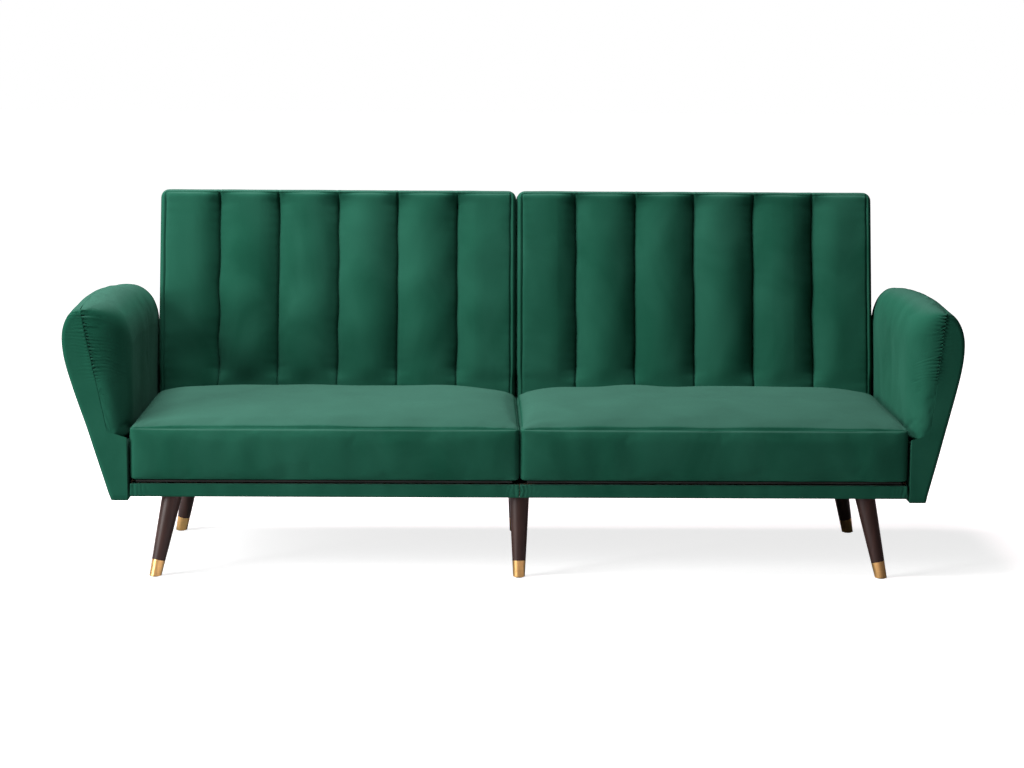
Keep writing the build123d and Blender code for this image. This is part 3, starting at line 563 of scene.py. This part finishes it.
def seat_surface(shape, low, high, seed):
    """Seat cushion: a rounded box whose sides bow out between two seams and whose top is a flattened
    dome over its seam line, with a soft random relief. Returns points, quads and the sewn points."""
    near = np.array([low.x - SEAT_PRESS, low.y + shape.seat_bulge, low.z + SEAT_GAP])
    far = np.array([high.x - SEAT_GAP / 2, high.y - SEAT_GAP, high.z - shape.seat_rise])
    grid, quads = box_lattice(*(edged(a, b, count) for a, b, count in zip(near, far, SEAT_GRID)))
    across, along, up = (2 * (grid - near) / (far - near) - 1).T
    corner = SEAT_CORNER
    points = round_over(grid, near, far, (corner, corner, SEAT_FOOT), (corner, corner, 0.0))
    top = up > ON_FACE
    rear_rim = dome(along, np.where(along > 0, 8.0, 2.6), 0.52)
    points[:, 2] += np.where(top, shape.seat_crown * dome(across, 5.0, 0.5) * rear_rim, 0)
    lip = shape.seat_lip * smooth_step(low.y + SEAT_LIP_RUN[0], low.y + SEAT_LIP_RUN[1], points[:, 1])
    points[:, 2] -= lip * np.clip(-up, 0, 1) ** 2
    bow = np.clip(1 - up ** 2, 0, 1) ** 0.6
    front = (along < -ON_FACE) * (1 - np.abs(across) ** 12)
    rear = (along > ON_FACE) * (1 - np.abs(across) ** 12)
    flank = (np.abs(across) > ON_FACE) * (1 - np.abs(along) ** 12) * np.sign(across)
    points[:, 1] += bow * (SEAT_GAP * rear - shape.seat_bulge * front)
    points[:, 0] += bow * (SEAT_GAP / 2) * flank
    relief = SEAT_RELIEF[0] * ripple(points, SEAT_RELIEF[1], seed) * (1 - np.abs(across) ** 10)
    upright = points * np.array([1.0, 1.0, 0.35])
    folds = SEAT_FOLDS[0] * ripple(upright, SEAT_FOLDS[1], seed + 1) * front * bow
    rim = np.minimum(grid - near, far - grid)[:, :2].min(1)
    seam_distance = np.where(top, rim, far[2] - grid[:, 2])
    groove = shape.seam_depth * np.exp(-(seam_distance / SEAM_WIDTH) ** 2)
    pull, pitch, reach = SEAT_STITCH
    stitch = pull * np.sin(2 * np.pi * (grid[:, 0] + grid[:, 1]) / pitch) * np.exp(-seam_distance / reach)
    held = (up < -ON_FACE) | (seam_distance < ON_EDGE)
    push = np.where(held, 0, relief + folds + stitch) - groove
    points += normals_of(points, quads) * push[:, None]
    return points, quads, held


class SOFA_OT_seats(bpy.types.Operator):
    """Two boxed seat cushions with a sewn front edge and a crowned top."""

    bl_idname = "sofa.seats"
    bl_label = "Seat cushions"

    def execute(self, context):
        shape = context.scene.sofa_shape
        low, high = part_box("seat_cushion_right")
        for number, (name, side) in enumerate(SIDES):
            points, quads, held = seat_surface(shape, low, high, SEEDS["seat"][number])
            nodes = [f"seat_cushion_{name}"]
            seat = make_piece(f"seat_pad_{name}", points, quads, side, "base", nodes, "velvet")
            inflate(seat, held, pressure=0.7, growth=0.002, cap=0.003)
            refine(seat)
        return {"FINISHED"}


# Backs

OUTER_VALLEY = 0.16  # depth of the outermost valleys, as a share of the others
FRONT_RUN = (0.055, 0.012)  # distance behind the front where its relief starts and where it is full
SIDE_RUN = (0.003, 0.024)  # distance from the sides over which small relief fades in
TOP_RUN = (0.003, 0.040)  # distance from the top over which the channels fade in
CREASE_RUN = (0.003, 0.010)  # distance from the top over which the sewn creases fade in
NOTCH_RUN = (0.05, 0.012)  # distance from the top where the notches start and where they are full
TUCK_RUN = (0.06, 0.015)  # height above the pivot where the tuck behind the seat starts and is full
TUCK_DEPTH = 0.0035
TUCK_SHARE = 0.6  # share of the channels that the tuck takes away
BORDER_GROOVE = 0.0028  # depth of the seam inside the border
CREASE = (0.0045, 0.0016)  # depth and width of the sewn creases
PUCKER = (0.0008, 0.024, 0.016, 0.004)  # height, pitch, reach and flat start of the pulls at a seam
NOTCH = (0.0012, 0.013, 0.02)  # height, pitch and reach of the small folds under the top edge
WANDER = (0.0014, 0.03)  # shift and reach of a seam's wandering
BACK_RELIEF = (0.0014, 0.13, 0.03)  # height, wavelength and full distance from a seam of the relief
PIN_WIDTH = 0.0025  # half width of the strip held down along a seam
SLOT_PIN = 0.02  # height of the strip held down above a hinge slot
SLOT_LINE = 0.0004  # distance of a grid line from the side of a hinge slot
SHELL_JOIN = 0.0006  # gap between the cushion and the rear shell
SHELL_EDGE = 0.006  # radius of the shell's rear edges
SHELL_SINK = 0.0015  # how far the rear panel sinks in its middle
SHELL_RELIEF = (0.0008, 0.12)  # height and wavelength of the rear panel's relief


def back_to_world(points, lean):
    """From the back's own axes (across, up the back, out of its front) to the frame's axes."""
    pivot = next(joint["pos_m"] for joint in frame["joints"] if joint["name"] == "recline_right")
    up = np.array([0.0, np.sin(lean), np.cos(lean)])
    out = np.array([0.0, -np.cos(lean), np.sin(lean)])
    across = np.array([1.0, 0.0, 0.0])
    origin = np.array([0.0, pivot[1], pivot[2]])
    return origin + points[:, :1] * across + points[:, 1:2] * up + points[:, 2:] * out


def hinge_slots(points, shape):
    """Lower edge raised over each hinge, all through the thickness except the front skin."""
    raised = points.copy()
    for start in shape.slot_starts:
        inside = (points[:, 0] > start) & (points[:, 0] < start + shape.slot_width)
        inside &= (points[:, 1] < shape.slot_top) & (points[:, 2] < shape.slot_front)
        raised[inside, 1] = shape.slot_top
    return raised


def slot_lines(places, shape):
    """Adds grid lines just inside and just outside each hinge slot."""
    starts = np.array(shape.slot_starts)
    sides = np.concatenate([starts, starts + shape.slot_width])
    return np.unique(np.concatenate([places, sides - SLOT_LINE, sides + SLOT_LINE]))


def channel_valleys(shape, seams, across):
    """Depth of the front below its crests: in a channel a parabola blended with one minus a dome, in the
    border strips a quarter round. Returns it, the place in the channel from -1 to 1, and whether a point
    belongs to the outer half of an outermost channel."""
    last = shape.channel_count - 1
    index = np.clip(np.searchsorted(seams, across), 1, shape.channel_count) - 1
    share = 2 * (across - seams[index]) / (seams[index + 1] - seams[index]) - 1
    outermost = ((index == 0) & (share < 0)) | ((index == last) & (share > 0))
    depth = np.where(outermost, OUTER_VALLEY * shape.channel_depth, shape.channel_depth)
    beyond = np.clip(np.abs(share) - 1, 0, None) / (2 * shape.border) * (seams[1] - seams[0])
    inside = 0.62 * share ** 2 + 0.38 * (1 - dome(share, 2.1, 0.5))
    strip = 1 - dome(1 - np.clip(beyond, 0, 1), 2, 0.5)
    return depth * np.where(np.abs(share) <= 1, inside, strip), share, outermost


def back_surface(shape, seed):
    """Channelled front of a back: a rounded box whose front is pressed in along upright seams by the
    channels' valleys; seams wander a little and pucker the cloth. Returns points, quads, sewn points."""
    low = np.array([shape.back_x[0], shape.back_up[0], shape.back_out[0]])
    high = np.array([shape.back_x[1], shape.back_up[1], shape.back_out[1]])
    seams = np.linspace(low[0], high[0], shape.channel_count + 1)
    seams[0] += shape.border
    seams[-1] -= shape.border
    runs = [spaced(low[0], seams[0], 5)[:-1], spaced(seams[-1], high[0], 5)]
    runs[1:1] = [edged(a, b, 13)[:-1] for a, b in zip(seams[:-1], seams[1:])]
    grid, quads = box_lattice(
        slot_lines(np.concatenate(runs), shape), spaced(low[1], high[1], 76, 0.55),
        spaced(low[2], high[2], 10, 0.4))
    across, up, out = grid.T
    radius = shape.back_round
    points = round_over(grid, low, high, (radius, 0.0, 0.0), (radius, radius, radius))
    facing = normals_of(points, quads) * np.array([1.0, 0.15, 1.0])
    side_distance = np.minimum(across - low[0], high[0] - across)
    top_distance = high[1] - up
    rim_distance = np.minimum(side_distance, top_distance + shape.border - shape.border_top)
    seam_distances = np.abs(grid[:, :1] - seams[None, :])
    distance, nearest = seam_distances.min(1), seam_distances.argmin(1)
    valley, share, outermost = channel_valleys(shape, seams, across)
    fronting = smooth_step(high[2] - FRONT_RUN[0], high[2] - FRONT_RUN[1], out)
    clear = smooth_step(*SIDE_RUN, side_distance)
    fading = smooth_step(*TOP_RUN, top_distance) ** 0.5
    tuck = smooth_step(*TUCK_RUN, up)
    waves = ripple(np.stack([nearest * 3.1, up * 9, 0 * nearest], 1), 0.9, seed)
    height, pitch, reach, flat = PUCKER
    pucker = np.sin(2 * np.pi * up / pitch + 2.2 * waves + nearest * 1.7 + np.sign(share) * 0.9)
    pucker *= height * np.exp(-distance / reach) * np.clip(distance / flat, 0, 1) * clear
    height, pitch, reach = NOTCH
    notch = height * smooth_step(*NOTCH_RUN, top_distance) * np.sin(2 * np.pi * across / pitch + 2 * waves)
    notch *= np.exp(-distance / reach) * clear
    relief = BACK_RELIEF[0] * ripple(points, BACK_RELIEF[1], seed + 1)
    relief *= smooth_step(0, BACK_RELIEF[2], distance) * clear
    creased = ~(outermost & (np.abs(share) > 0.9)) * smooth_step(*CREASE_RUN, top_distance)
    groove = BORDER_GROOVE * np.exp(-((rim_distance - shape.border) / SEAM_WIDTH) ** 2)
    groove += CREASE[0] * np.exp(-distance / CREASE[1]) * creased
    sunk = TUCK_DEPTH * tuck + valley * fading * (1 - TUCK_SHARE * tuck)
    points = points + facing * (fronting * (pucker + notch + relief - groove - sunk))[:, None]
    points[:, 0] += WANDER[0] * waves * np.exp(-distance / WANDER[1]) * fronting * clear
    sewn = (distance < PIN_WIDTH) | (fronting < 0.5) | (up < shape.slot_top + SLOT_PIN)
    sewn |= rim_distance < shape.border
    return hinge_slots(points, shape), quads, sewn


def shell_surface(shape, seed):
    """Rear half of a back: a box with rounded rear edges whose rear panel sinks a little in the middle."""
    low = np.array([shape.back_x[0], shape.back_up[0], shape.shell_rear])
    high = np.array([shape.back_x[1] - shape.shell_gap, shape.back_up[1], shape.back_out[0] - SHELL_JOIN])
    grid, quads = box_lattice(
        slot_lines(spaced(low[0], high[0], 90, 0.4), shape), spaced(low[1], high[1], 60, 0.4),
        spaced(low[2], high[2], 12, 0.4))
    across, up, out = (2 * (grid - low) / (high - low) - 1).T
    radius = shape.shell_round
    points = round_over(grid, low, high, (radius, 0.0, SHELL_EDGE), (radius, radius, 0.0))
    sink = SHELL_SINK * (1 - across ** 6) * (1 - up ** 6)
    sink += SHELL_RELIEF[0] * ripple(points, SHELL_RELIEF[1], seed)
    points[:, 2] += np.where(out < -ON_FACE, sink, 0)
    return hinge_slots(points, shape), quads


class SOFA_OT_backs(bpy.types.Operator):
    """Two channelled backs, each with a plain rear shell."""

    bl_idname = "sofa.backs"
    bl_label = "Backs"

    def execute(self, context):
        shape = context.scene.sofa_shape
        for number, (name, side) in enumerate(SIDES):
            body = f"back_{name}"
            points, quads, sewn = back_surface(shape, SEEDS["back"][number])
            world = back_to_world(points, shape.back_lean)
            nodes = [f"back_cushion_{name}"]
            front = make_piece(f"back_pad_{name}", world, quads, side, body, nodes, "velvet")
            inflate(front, sewn, pressure=1.2, growth=0.004, cap=0.003)
            refine(front)
            points, quads = shell_surface(shape, SEEDS["shell"][number])
            world = back_to_world(points, shape.back_lean)
            nodes = [f"back_cover_{name}"]
            make_piece(f"back_shell_{name}", world, quads, side, body, nodes, "velvet")
        return {"FINISHED"}


# Arms

ROLL_STEPS = 15  # grid lines round each rolled end
GATHER_FOOT = 0.43  # height above which the grid is close enough for gathers
GATHER_START = (0.44, 0.50)  # place along the seam over which the gathers fade in
GATHER_END = (0.66, 0.72)  # place along the seam over which they fade out
GATHER_HOLD = (0.03, 0.44)  # distance from the seam, and height, of the gathers the cloth keeps
GATHER_JITTER = (0.22, 0.05)  # unevenness of the folds' pitch, and its wavelength
FOLD_COUNT = 256  # folds with a depth and reach of their own
PAD_GATHERS = 1.5  # strength of the gathers on the pad
BAND_GATHERS = (0.7, 1.3)  # strength of the gathers on the band, and how much faster they fade
PAD_SHOULDER = 0.01  # how far the shoulder of a rolled end stays below the seam's head
SEAM_TUCK = 0.0003  # gap between the pad and the band at their seam
ARM_RELIEF = 0.0006  # height of the soft relief
PAD_RELIEF = (0.16, 0.03)  # wavelength of the pad's relief, and the distance from the seam where it is full
BAND_RELIEF = (0.15, 0.02)  # the same for the band


def rolled_ends(front, rear, depths, count):
    """Places along the arm, and how far its section has rolled over: a quarter ellipse at each end."""
    turn = np.linspace(0, np.pi / 2, ROLL_STEPS)
    step = 1 - np.cos(turn)
    roll = 1 - np.sin(turn)
    middle = np.linspace(front + depths[0], rear - depths[1], count)[1:-1]
    places = np.concatenate([front + depths[0] * step, middle, (rear - depths[1] * step)[::-1]])
    return places, np.concatenate([roll, 0 * middle, roll[::-1]])


def seam_x(shape, height, lean):
    """Place of the slanted seam between the band and the pad at a height."""
    foot, head = shape.seam_foot, shape.seam_head
    return foot[0] + (head[0] + lean - foot[0]) * (height - foot[1]) / (head[1] - foot[1])


def gathers(shape, points, distance, front, length, seed):
    """Short folds across the seam: the root of a rectified sine along it, which puffs between sharp
    creases and dies away with the distance from it. Each fold has its own depth and reach."""
    along = points[:, 2] + 0.5 * (points[:, 1] - front)
    envelope = smooth_step(*GATHER_START, along) * (1 - smooth_step(*GATHER_END, along))
    turn = along / shape.gather_pitch + GATHER_JITTER[0] * ripple(points, GATHER_JITTER[1], seed)
    draws = np.random.default_rng(seed).uniform(0, 1, FOLD_COUNT)
    share = draws[np.floor(turn).astype(int) % FOLD_COUNT]
    wave = 1.7 * np.sqrt(np.abs(np.sin(np.pi * turn))) - 1.1
    near = np.exp(-distance / (length * (0.4 + 1.1 * share)))
    return shape.gather_depth * (0.6 + 0.6 * share) * wave * near * envelope


def head_shift(shape, along, low, high):
    """Rise and fall of the arm's top along its length: a parabola less a straight fall to the rear."""
    middle = 2 * (along - low.y) / (high.y - low.y) - 1
    return shape.pad_arch * (1 - middle ** 2) - shape.pad_fall * (1 + middle) / 2


def arm_rows(low, head):
    """Shares of the arm's height: even below the gathers and close together over them."""
    start = (GATHER_FOOT - low) / (head - low)
    return np.concatenate([spaced(0, start, 18)[:-1], spaced(start, 1, 130)])


def arm_pad_surface(shape, low, high, lean, length, seed):
    """Puffed inner pad: its top is a quarter ellipse from the inner side to the crest and a shallow
    parabola down to the seam; both ends roll far over; gathers cross the seam at the front. Returns
    points, quads and the points that the cloth holds."""
    places, rolls = rolled_ends(low.y, high.y, shape.pad_roll_depth, 44)
    grid, quads = box_lattice(spaced(0, 1, 30, 0.8), places, arm_rows(low.z, high.z))
    across, along, rise = grid.T
    roll = np.interp(along, places, rolls)
    crest = shape.pad_crest_share
    rolled = np.sqrt(np.clip(1 - (1 - np.minimum(across / crest, 1)) ** 2, 0, 1))
    shoulder = shape.roll_height + (shape.seam_head[1] - PAD_SHOULDER - shape.roll_height) * roll ** 0.7
    top = shoulder + (high.z - shoulder) * rolled
    top -= (high.z - shape.seam_head[1]) * np.clip((across - crest) / (1 - crest), 0, 1) ** 2
    top -= shape.pad_round * roll * (1 - 0.6 * across)
    top += head_shift(shape, along, low, high)
    height = low.z + rise * (top - low.z)
    outer = seam_x(shape, height, lean) - SEAM_TUCK
    foot_draw, head_draw = shape.pad_draw
    draw = foot_draw + (head_draw - foot_draw) * smooth_step(low.z, shape.roll_height, height)
    inner = low.x + roll * draw * (outer - low.x)
    points = np.stack([inner + across * (outer - inner), along, height], 1)
    distance = np.hypot((1 - across) * (outer - inner), along - low.y)
    relief = ARM_RELIEF * ripple(points, PAD_RELIEF[0], seed) * smooth_step(0, PAD_RELIEF[1], distance)
    push = relief + PAD_GATHERS * gathers(shape, points, distance, low.y, length, seed + 1)
    sewn = (across > ON_FACE) | (rise < ON_EDGE) | ((across < ON_EDGE) & (along > 0))
    held = sewn | ((distance < GATHER_HOLD[0]) & (height > GATHER_HOLD[1]))
    points += normals_of(points, quads) * np.where(sewn, 0, push)[:, None]
    return points, quads, held


def arm_band_surface(shape, low, high, lean, length, seed):
    """Flared outer band: straight flare, sine-curved flank and quarter-ellipse shoulder on the outside,
    the slanted seam on the inside, with a ledge under the pad."""
    places, rolls = rolled_ends(low.y, high.y, (shape.band_round, shape.band_round), 48)
    grid, quads = box_lattice(spaced(0, 1, 18, 0.5), places, arm_rows(low.z, shape.seam_head[1]))
    across, along, rise = grid.T
    inset = shape.band_round * np.interp(along, places, rolls)
    head = shape.seam_head[1] - inset + head_shift(shape, along, low, high)
    height = low.z + rise * (head - low.z)
    tilt = lean * (height - low.z) / (shape.bulge[1] - low.z)
    flare, bulge = shape.flare, shape.bulge
    base = shape.base_outer + (flare[0] - shape.base_outer) * (height - low.z) / (flare[1] - low.z)
    turn = np.clip((height - flare[1]) / (bulge[1] - flare[1]), 0, 1) * np.pi / 2
    flank = flare[0] + (bulge[0] - flare[0]) * np.sin(turn)
    fall = np.clip((height - bulge[1]) / (head - bulge[1]), 0, 1)
    crown = shape.seam_head[0] + (bulge[0] - shape.seam_head[0]) * np.sqrt(1 - fall ** 2)
    outer = tilt + np.where(height < flare[1], base, np.where(height < bulge[1], flank, crown))
    inner = np.where(height < shape.seam_foot[1], low.x, seam_x(shape, height, lean))
    outer = np.maximum(outer - inset, inner)
    points = np.stack([inner + across * (outer - inner), along, height], 1)
    distance = np.hypot(across * (outer - inner), along - low.y)
    relief = ARM_RELIEF * ripple(points, BAND_RELIEF[0], seed) * smooth_step(0, BAND_RELIEF[1], distance)
    strength, fade = BAND_GATHERS
    push = relief + strength * gathers(shape, points, fade * distance, low.y, length, seed + 1)
    push *= (across > 0.02) * (rise > 0.001) * (rise < 0.995)
    points += normals_of(points, quads) * push[:, None]
    return points, quads


class SOFA_OT_arms(bpy.types.Operator):
    """Two flared arms: an outer band and a puffed pad gathered along their seam."""

    bl_idname = "sofa.arms"
    bl_label = "Arms"

    def execute(self, context):
        shape = context.scene.sofa_shape
        for number, (name, side) in enumerate(SIDES):
            lean, length = shape.arm_lean[number], shape.gather_length[number]
            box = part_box("arm_pad_right")
            points, quads, held = arm_pad_surface(shape, *box, lean, length, SEEDS["pad"][number])
            nodes = [f"arm_pad_{name}"]
            pad = make_piece(f"arm_cushion_{name}", points, quads, side, "base", nodes, "velvet")
            inflate(pad, held, pressure=0.8, growth=0.003, cap=0.003)
            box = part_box("arm_body_right")
            points, quads = arm_band_surface(shape, *box, lean, length, SEEDS["band"][number])
            nodes = [f"arm_body_{name}"]
            band = make_piece(f"arm_band_{name}", points, quads, side, "base", nodes, "velvet")
        return {"FINISHED"}


# Rails

WRAP_TURN = 0.0035  # radius of the tight turn over a rail's upper edge
WRAP_SKIN = 0.0012  # thickness of the cloth
WRAP_PLEATS = (0.0034, 0.010, 0.024)  # depth, pitch and reach of the pleats at a wrap's ends
WRAP_JITTER = 0.03  # wavelength of the pleats' unevenness
WRAP_RELIEF = (0.0004, 0.035)  # height and wavelength of the soft relief


def wrap_surface(shape, low, high, seed, front):
    """Cloth folded round a rail: a strip on its top, a tight turn, its face, a quarter turn and a lip
    below, gathered at both ends. The strip is carried along a path of straight runs and two turns."""
    bend, tight = shape.wrap_bend, WRAP_TURN
    crown = high.z + shape.wrap_crown
    lengths = np.array([shape.wrap_lip - tight, tight * np.pi / 2, crown - low.z - tight - bend,
                        bend * np.pi / 2, shape.wrap_lip - bend])
    ends = np.cumsum(lengths)
    grid, quads = box_lattice(
        spaced(low.x, high.x, 200, 0.6), spaced(0, 1, 3), spaced(0, ends[-1], 42))
    across, deep, along = grid.T
    skin = WRAP_SKIN * deep
    over = np.clip((along - ends[0]) / tight, 0, np.pi / 2)
    under = np.clip((along - ends[2]) / bend, 0, np.pi / 2)
    face = np.clip(along - ends[1], 0, lengths[2])
    top_out = tight - (tight - skin) * np.sin(over) + np.clip(ends[0] - along, 0, None)
    low_out = bend - (bend - skin) * np.cos(under) + np.clip(along - ends[3], 0, None)
    out = np.where(along < ends[1], top_out, np.where(along < ends[2], skin, low_out))
    height = np.where(along < ends[1], crown - tight + (tight - skin) * np.cos(over), crown - tight - face)
    height = np.where(along > ends[2], low.z + bend - (bend - skin) * np.sin(under), height)
    facing = np.sin(over) * np.cos(under)
    end_distance = np.minimum(across - low.x, high.x - across)
    depth, pitch, reach = WRAP_PLEATS
    pleats = np.sqrt(np.abs(np.sin(np.pi * across / pitch + ripple(grid, WRAP_JITTER, seed)))) - 0.6
    folds = depth * pleats * np.exp(-end_distance / reach)
    spread = np.stack([across, 0 * along, along * 0.5], 1)
    folds += WRAP_RELIEF[0] * ripple(spread, WRAP_RELIEF[1], seed + 1)
    out = out + (WRAP_SKIN - folds) * facing
    points = np.stack([across, low.y + out if front else high.y - out, height], 1)
    return points, quads[:, ::-1] if front else quads


class SOFA_OT_rails(bpy.types.Operator):
    """Cloth-wrapped strips over the front and rear rails."""

    bl_idname = "sofa.rails"
    bl_label = "Rail wraps"

    def execute(self, context):
        shape = context.scene.sofa_shape
        low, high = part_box("rail_covers_right")
        low.x -= shape.wrap_reach
        high.x += shape.wrap_reach
        for number, (name, side) in enumerate(SIDES):
            nodes = [f"rail_covers_{name}"]
            for place, front in (("front", True), ("rear", False)):
                seed = SEEDS[f"wrap_{place}"][number]
                points, quads = wrap_surface(shape, low, high, seed, front)
                make_piece(f"rail_wrap_{place}_{name}", points, quads, side, "base", nodes, "velvet")
        return {"FINISHED"}


# Stage

FLOOR_HALF = 30  # half the side of the floor
FLOOR_GREY = 0.5
AIM = Vector((0.0, 0.0, 0.4))  # where the lights point
WHITE = (1.0, 1.0, 1.0)


def lay_floor(scene, stage):
    """Square floor that catches the shadow; to the camera alone it glows, whiter with the distance."""
    half = FLOOR_HALF
    mesh = bpy.data.meshes.new("floor")
    mesh.from_pydata(
        [(-half, -half, 0), (half, -half, 0), (half, half, 0), (-half, half, 0)], [], [(0, 1, 2, 3)])
    floor = bpy.data.objects.new("floor", mesh)
    scene.collection.objects.link(floor)
    material = bpy.data.materials.new("floor")
    material.use_nodes = True
    tree = material.node_tree
    shader = tree.nodes["Principled BSDF"]
    set_values(shader, {
        "Base Color": (FLOOR_GREY, FLOOR_GREY, FLOOR_GREY, 1.0), "Roughness": 0.9,
        "Specular IOR Level": 0.1, "Emission Color": (*WHITE, 1.0)})
    path = add_node(tree, "LightPath")
    place = add_node(tree, "TexCoord")
    away = add_node(tree, "VectorMath", operation="LENGTH")
    start, full = stage.floor_reach
    glow = add_node(tree, "MapRange", {"From Min": start, "From Max": full, "To Min": stage.floor_lift})
    lift = add_node(tree, "Math", operation="MULTIPLY")
    tree.links.new(place.outputs["Object"], away.inputs[0])
    tree.links.new(away.outputs["Value"], glow.inputs["Value"])
    tree.links.new(path.outputs["Is Camera Ray"], lift.inputs[0])
    tree.links.new(glow.outputs["Result"], lift.inputs[1])
    tree.links.new(lift.outputs["Value"], shader.inputs["Emission Strength"])
    mesh.materials.append(material)


def light_room(scene, stage):
    """White surroundings for the camera, and a faint even light for everything else."""
    world = bpy.data.worlds.new("studio")
    world.use_nodes = True
    scene.world = world
    tree = world.node_tree
    background = tree.nodes["Background"]
    set_values(background, {"Color": (*WHITE, 1.0)})
    path = add_node(tree, "LightPath")
    mix = add_node(tree, "MapRange", {"To Min": stage.room_light, "To Max": 1.0})
    tree.links.new(path.outputs["Is Camera Ray"], mix.inputs["Value"])
    tree.links.new(mix.outputs["Result"], background.inputs["Strength"])


def hang_lights(scene, stage):
    """Two square lights turned to the sofa: one at the front left, one overhead."""
    for name, place, size, power, tint in (
        ("key", stage.key_place, 2.0, stage.key_power, WHITE),
        ("top", stage.top_place, 2.6, stage.top_power, stage.top_tint),
    ):
        lamp = bpy.data.lights.new(name, "AREA")
        lamp.color = tint
        lamp.size = size
        lamp.energy = power
        holder = bpy.data.objects.new(name, lamp)
        holder.location = place
        holder.rotation_euler = (AIM - Vector(place)).to_track_quat("-Z", "Y").to_euler()
        scene.collection.objects.link(holder)


def place_camera(scene, stage):
    """Camera at the eye, turned by yaw, tilted by pitch and rolled about its own axis."""
    camera = bpy.data.cameras.new("camera")
    camera.lens = stage.lens
    camera.sensor_width = 36.0
    holder = bpy.data.objects.new("camera", camera)
    turn = Matrix.Rotation(-stage.yaw, 4, "Z") @ Matrix.Rotation(np.pi / 2 - stage.pitch, 4, "X")
    holder.matrix_world = Matrix.Translation(stage.eye) @ turn @ Matrix.Rotation(stage.roll, 4, "Z")
    scene.collection.objects.link(holder)
    scene.camera = holder


class SOFA_OT_stage(bpy.types.Operator):
    """Pale floor, soft light from the left and from above, and the camera."""

    bl_idname = "sofa.stage"
    bl_label = "Stage"

    def execute(self, context):
        scene, stage = context.scene, context.scene.sofa_stage
        lay_floor(scene, stage)
        light_room(scene, stage)
        hang_lights(scene, stage)
        place_camera(scene, stage)
        scene.view_settings.view_transform = "Standard"
        return {"FINISHED"}


class SOFA_PT_panel(bpy.types.Panel):
    """Buttons for each group of pieces and their sizes."""

    bl_label = "Sofa"
    bl_idname = "SOFA_PT_panel"
    bl_space_type = "VIEW_3D"
    bl_region_type = "UI"
    bl_category = "Sofa"

    def draw(self, context):
        for group in (context.scene.sofa_shape, context.scene.sofa_finish, context.scene.sofa_stage):
            column = self.layout.column()
            for name in group.__annotations__:
                column.prop(group, name)
        for step in STEPS:
            self.layout.operator(step.bl_idname)


STEPS = (SOFA_OT_finishes, SOFA_OT_seats, SOFA_OT_backs, SOFA_OT_arms, SOFA_OT_rails, SOFA_OT_stage)
CLASSES = (SofaShape, SofaFinish, SofaStage, *STEPS, SOFA_PT_panel)


def register():
    """Add the classes and their settings to Blender."""
    for kind in CLASSES:
        bpy.utils.register_class(kind)
    bpy.types.Scene.sofa_shape = bpy.props.PointerProperty(type=SofaShape)
    bpy.types.Scene.sofa_finish = bpy.props.PointerProperty(type=SofaFinish)
    bpy.types.Scene.sofa_stage = bpy.props.PointerProperty(type=SofaStage)


def unregister():
    """Take the settings and classes away again."""
    del bpy.types.Scene.sofa_stage
    del bpy.types.Scene.sofa_finish
    del bpy.types.Scene.sofa_shape
    for kind in reversed(CLASSES):
        bpy.utils.unregister_class(kind)


def main():
    """Build every piece in order."""
    register()
    bpy.ops.sofa.finishes()
    bpy.ops.sofa.seats()
    bpy.ops.sofa.backs()
    bpy.ops.sofa.arms()
    bpy.ops.sofa.rails()
    bpy.ops.sofa.stage()


if __name__ == "__main__":
    main()
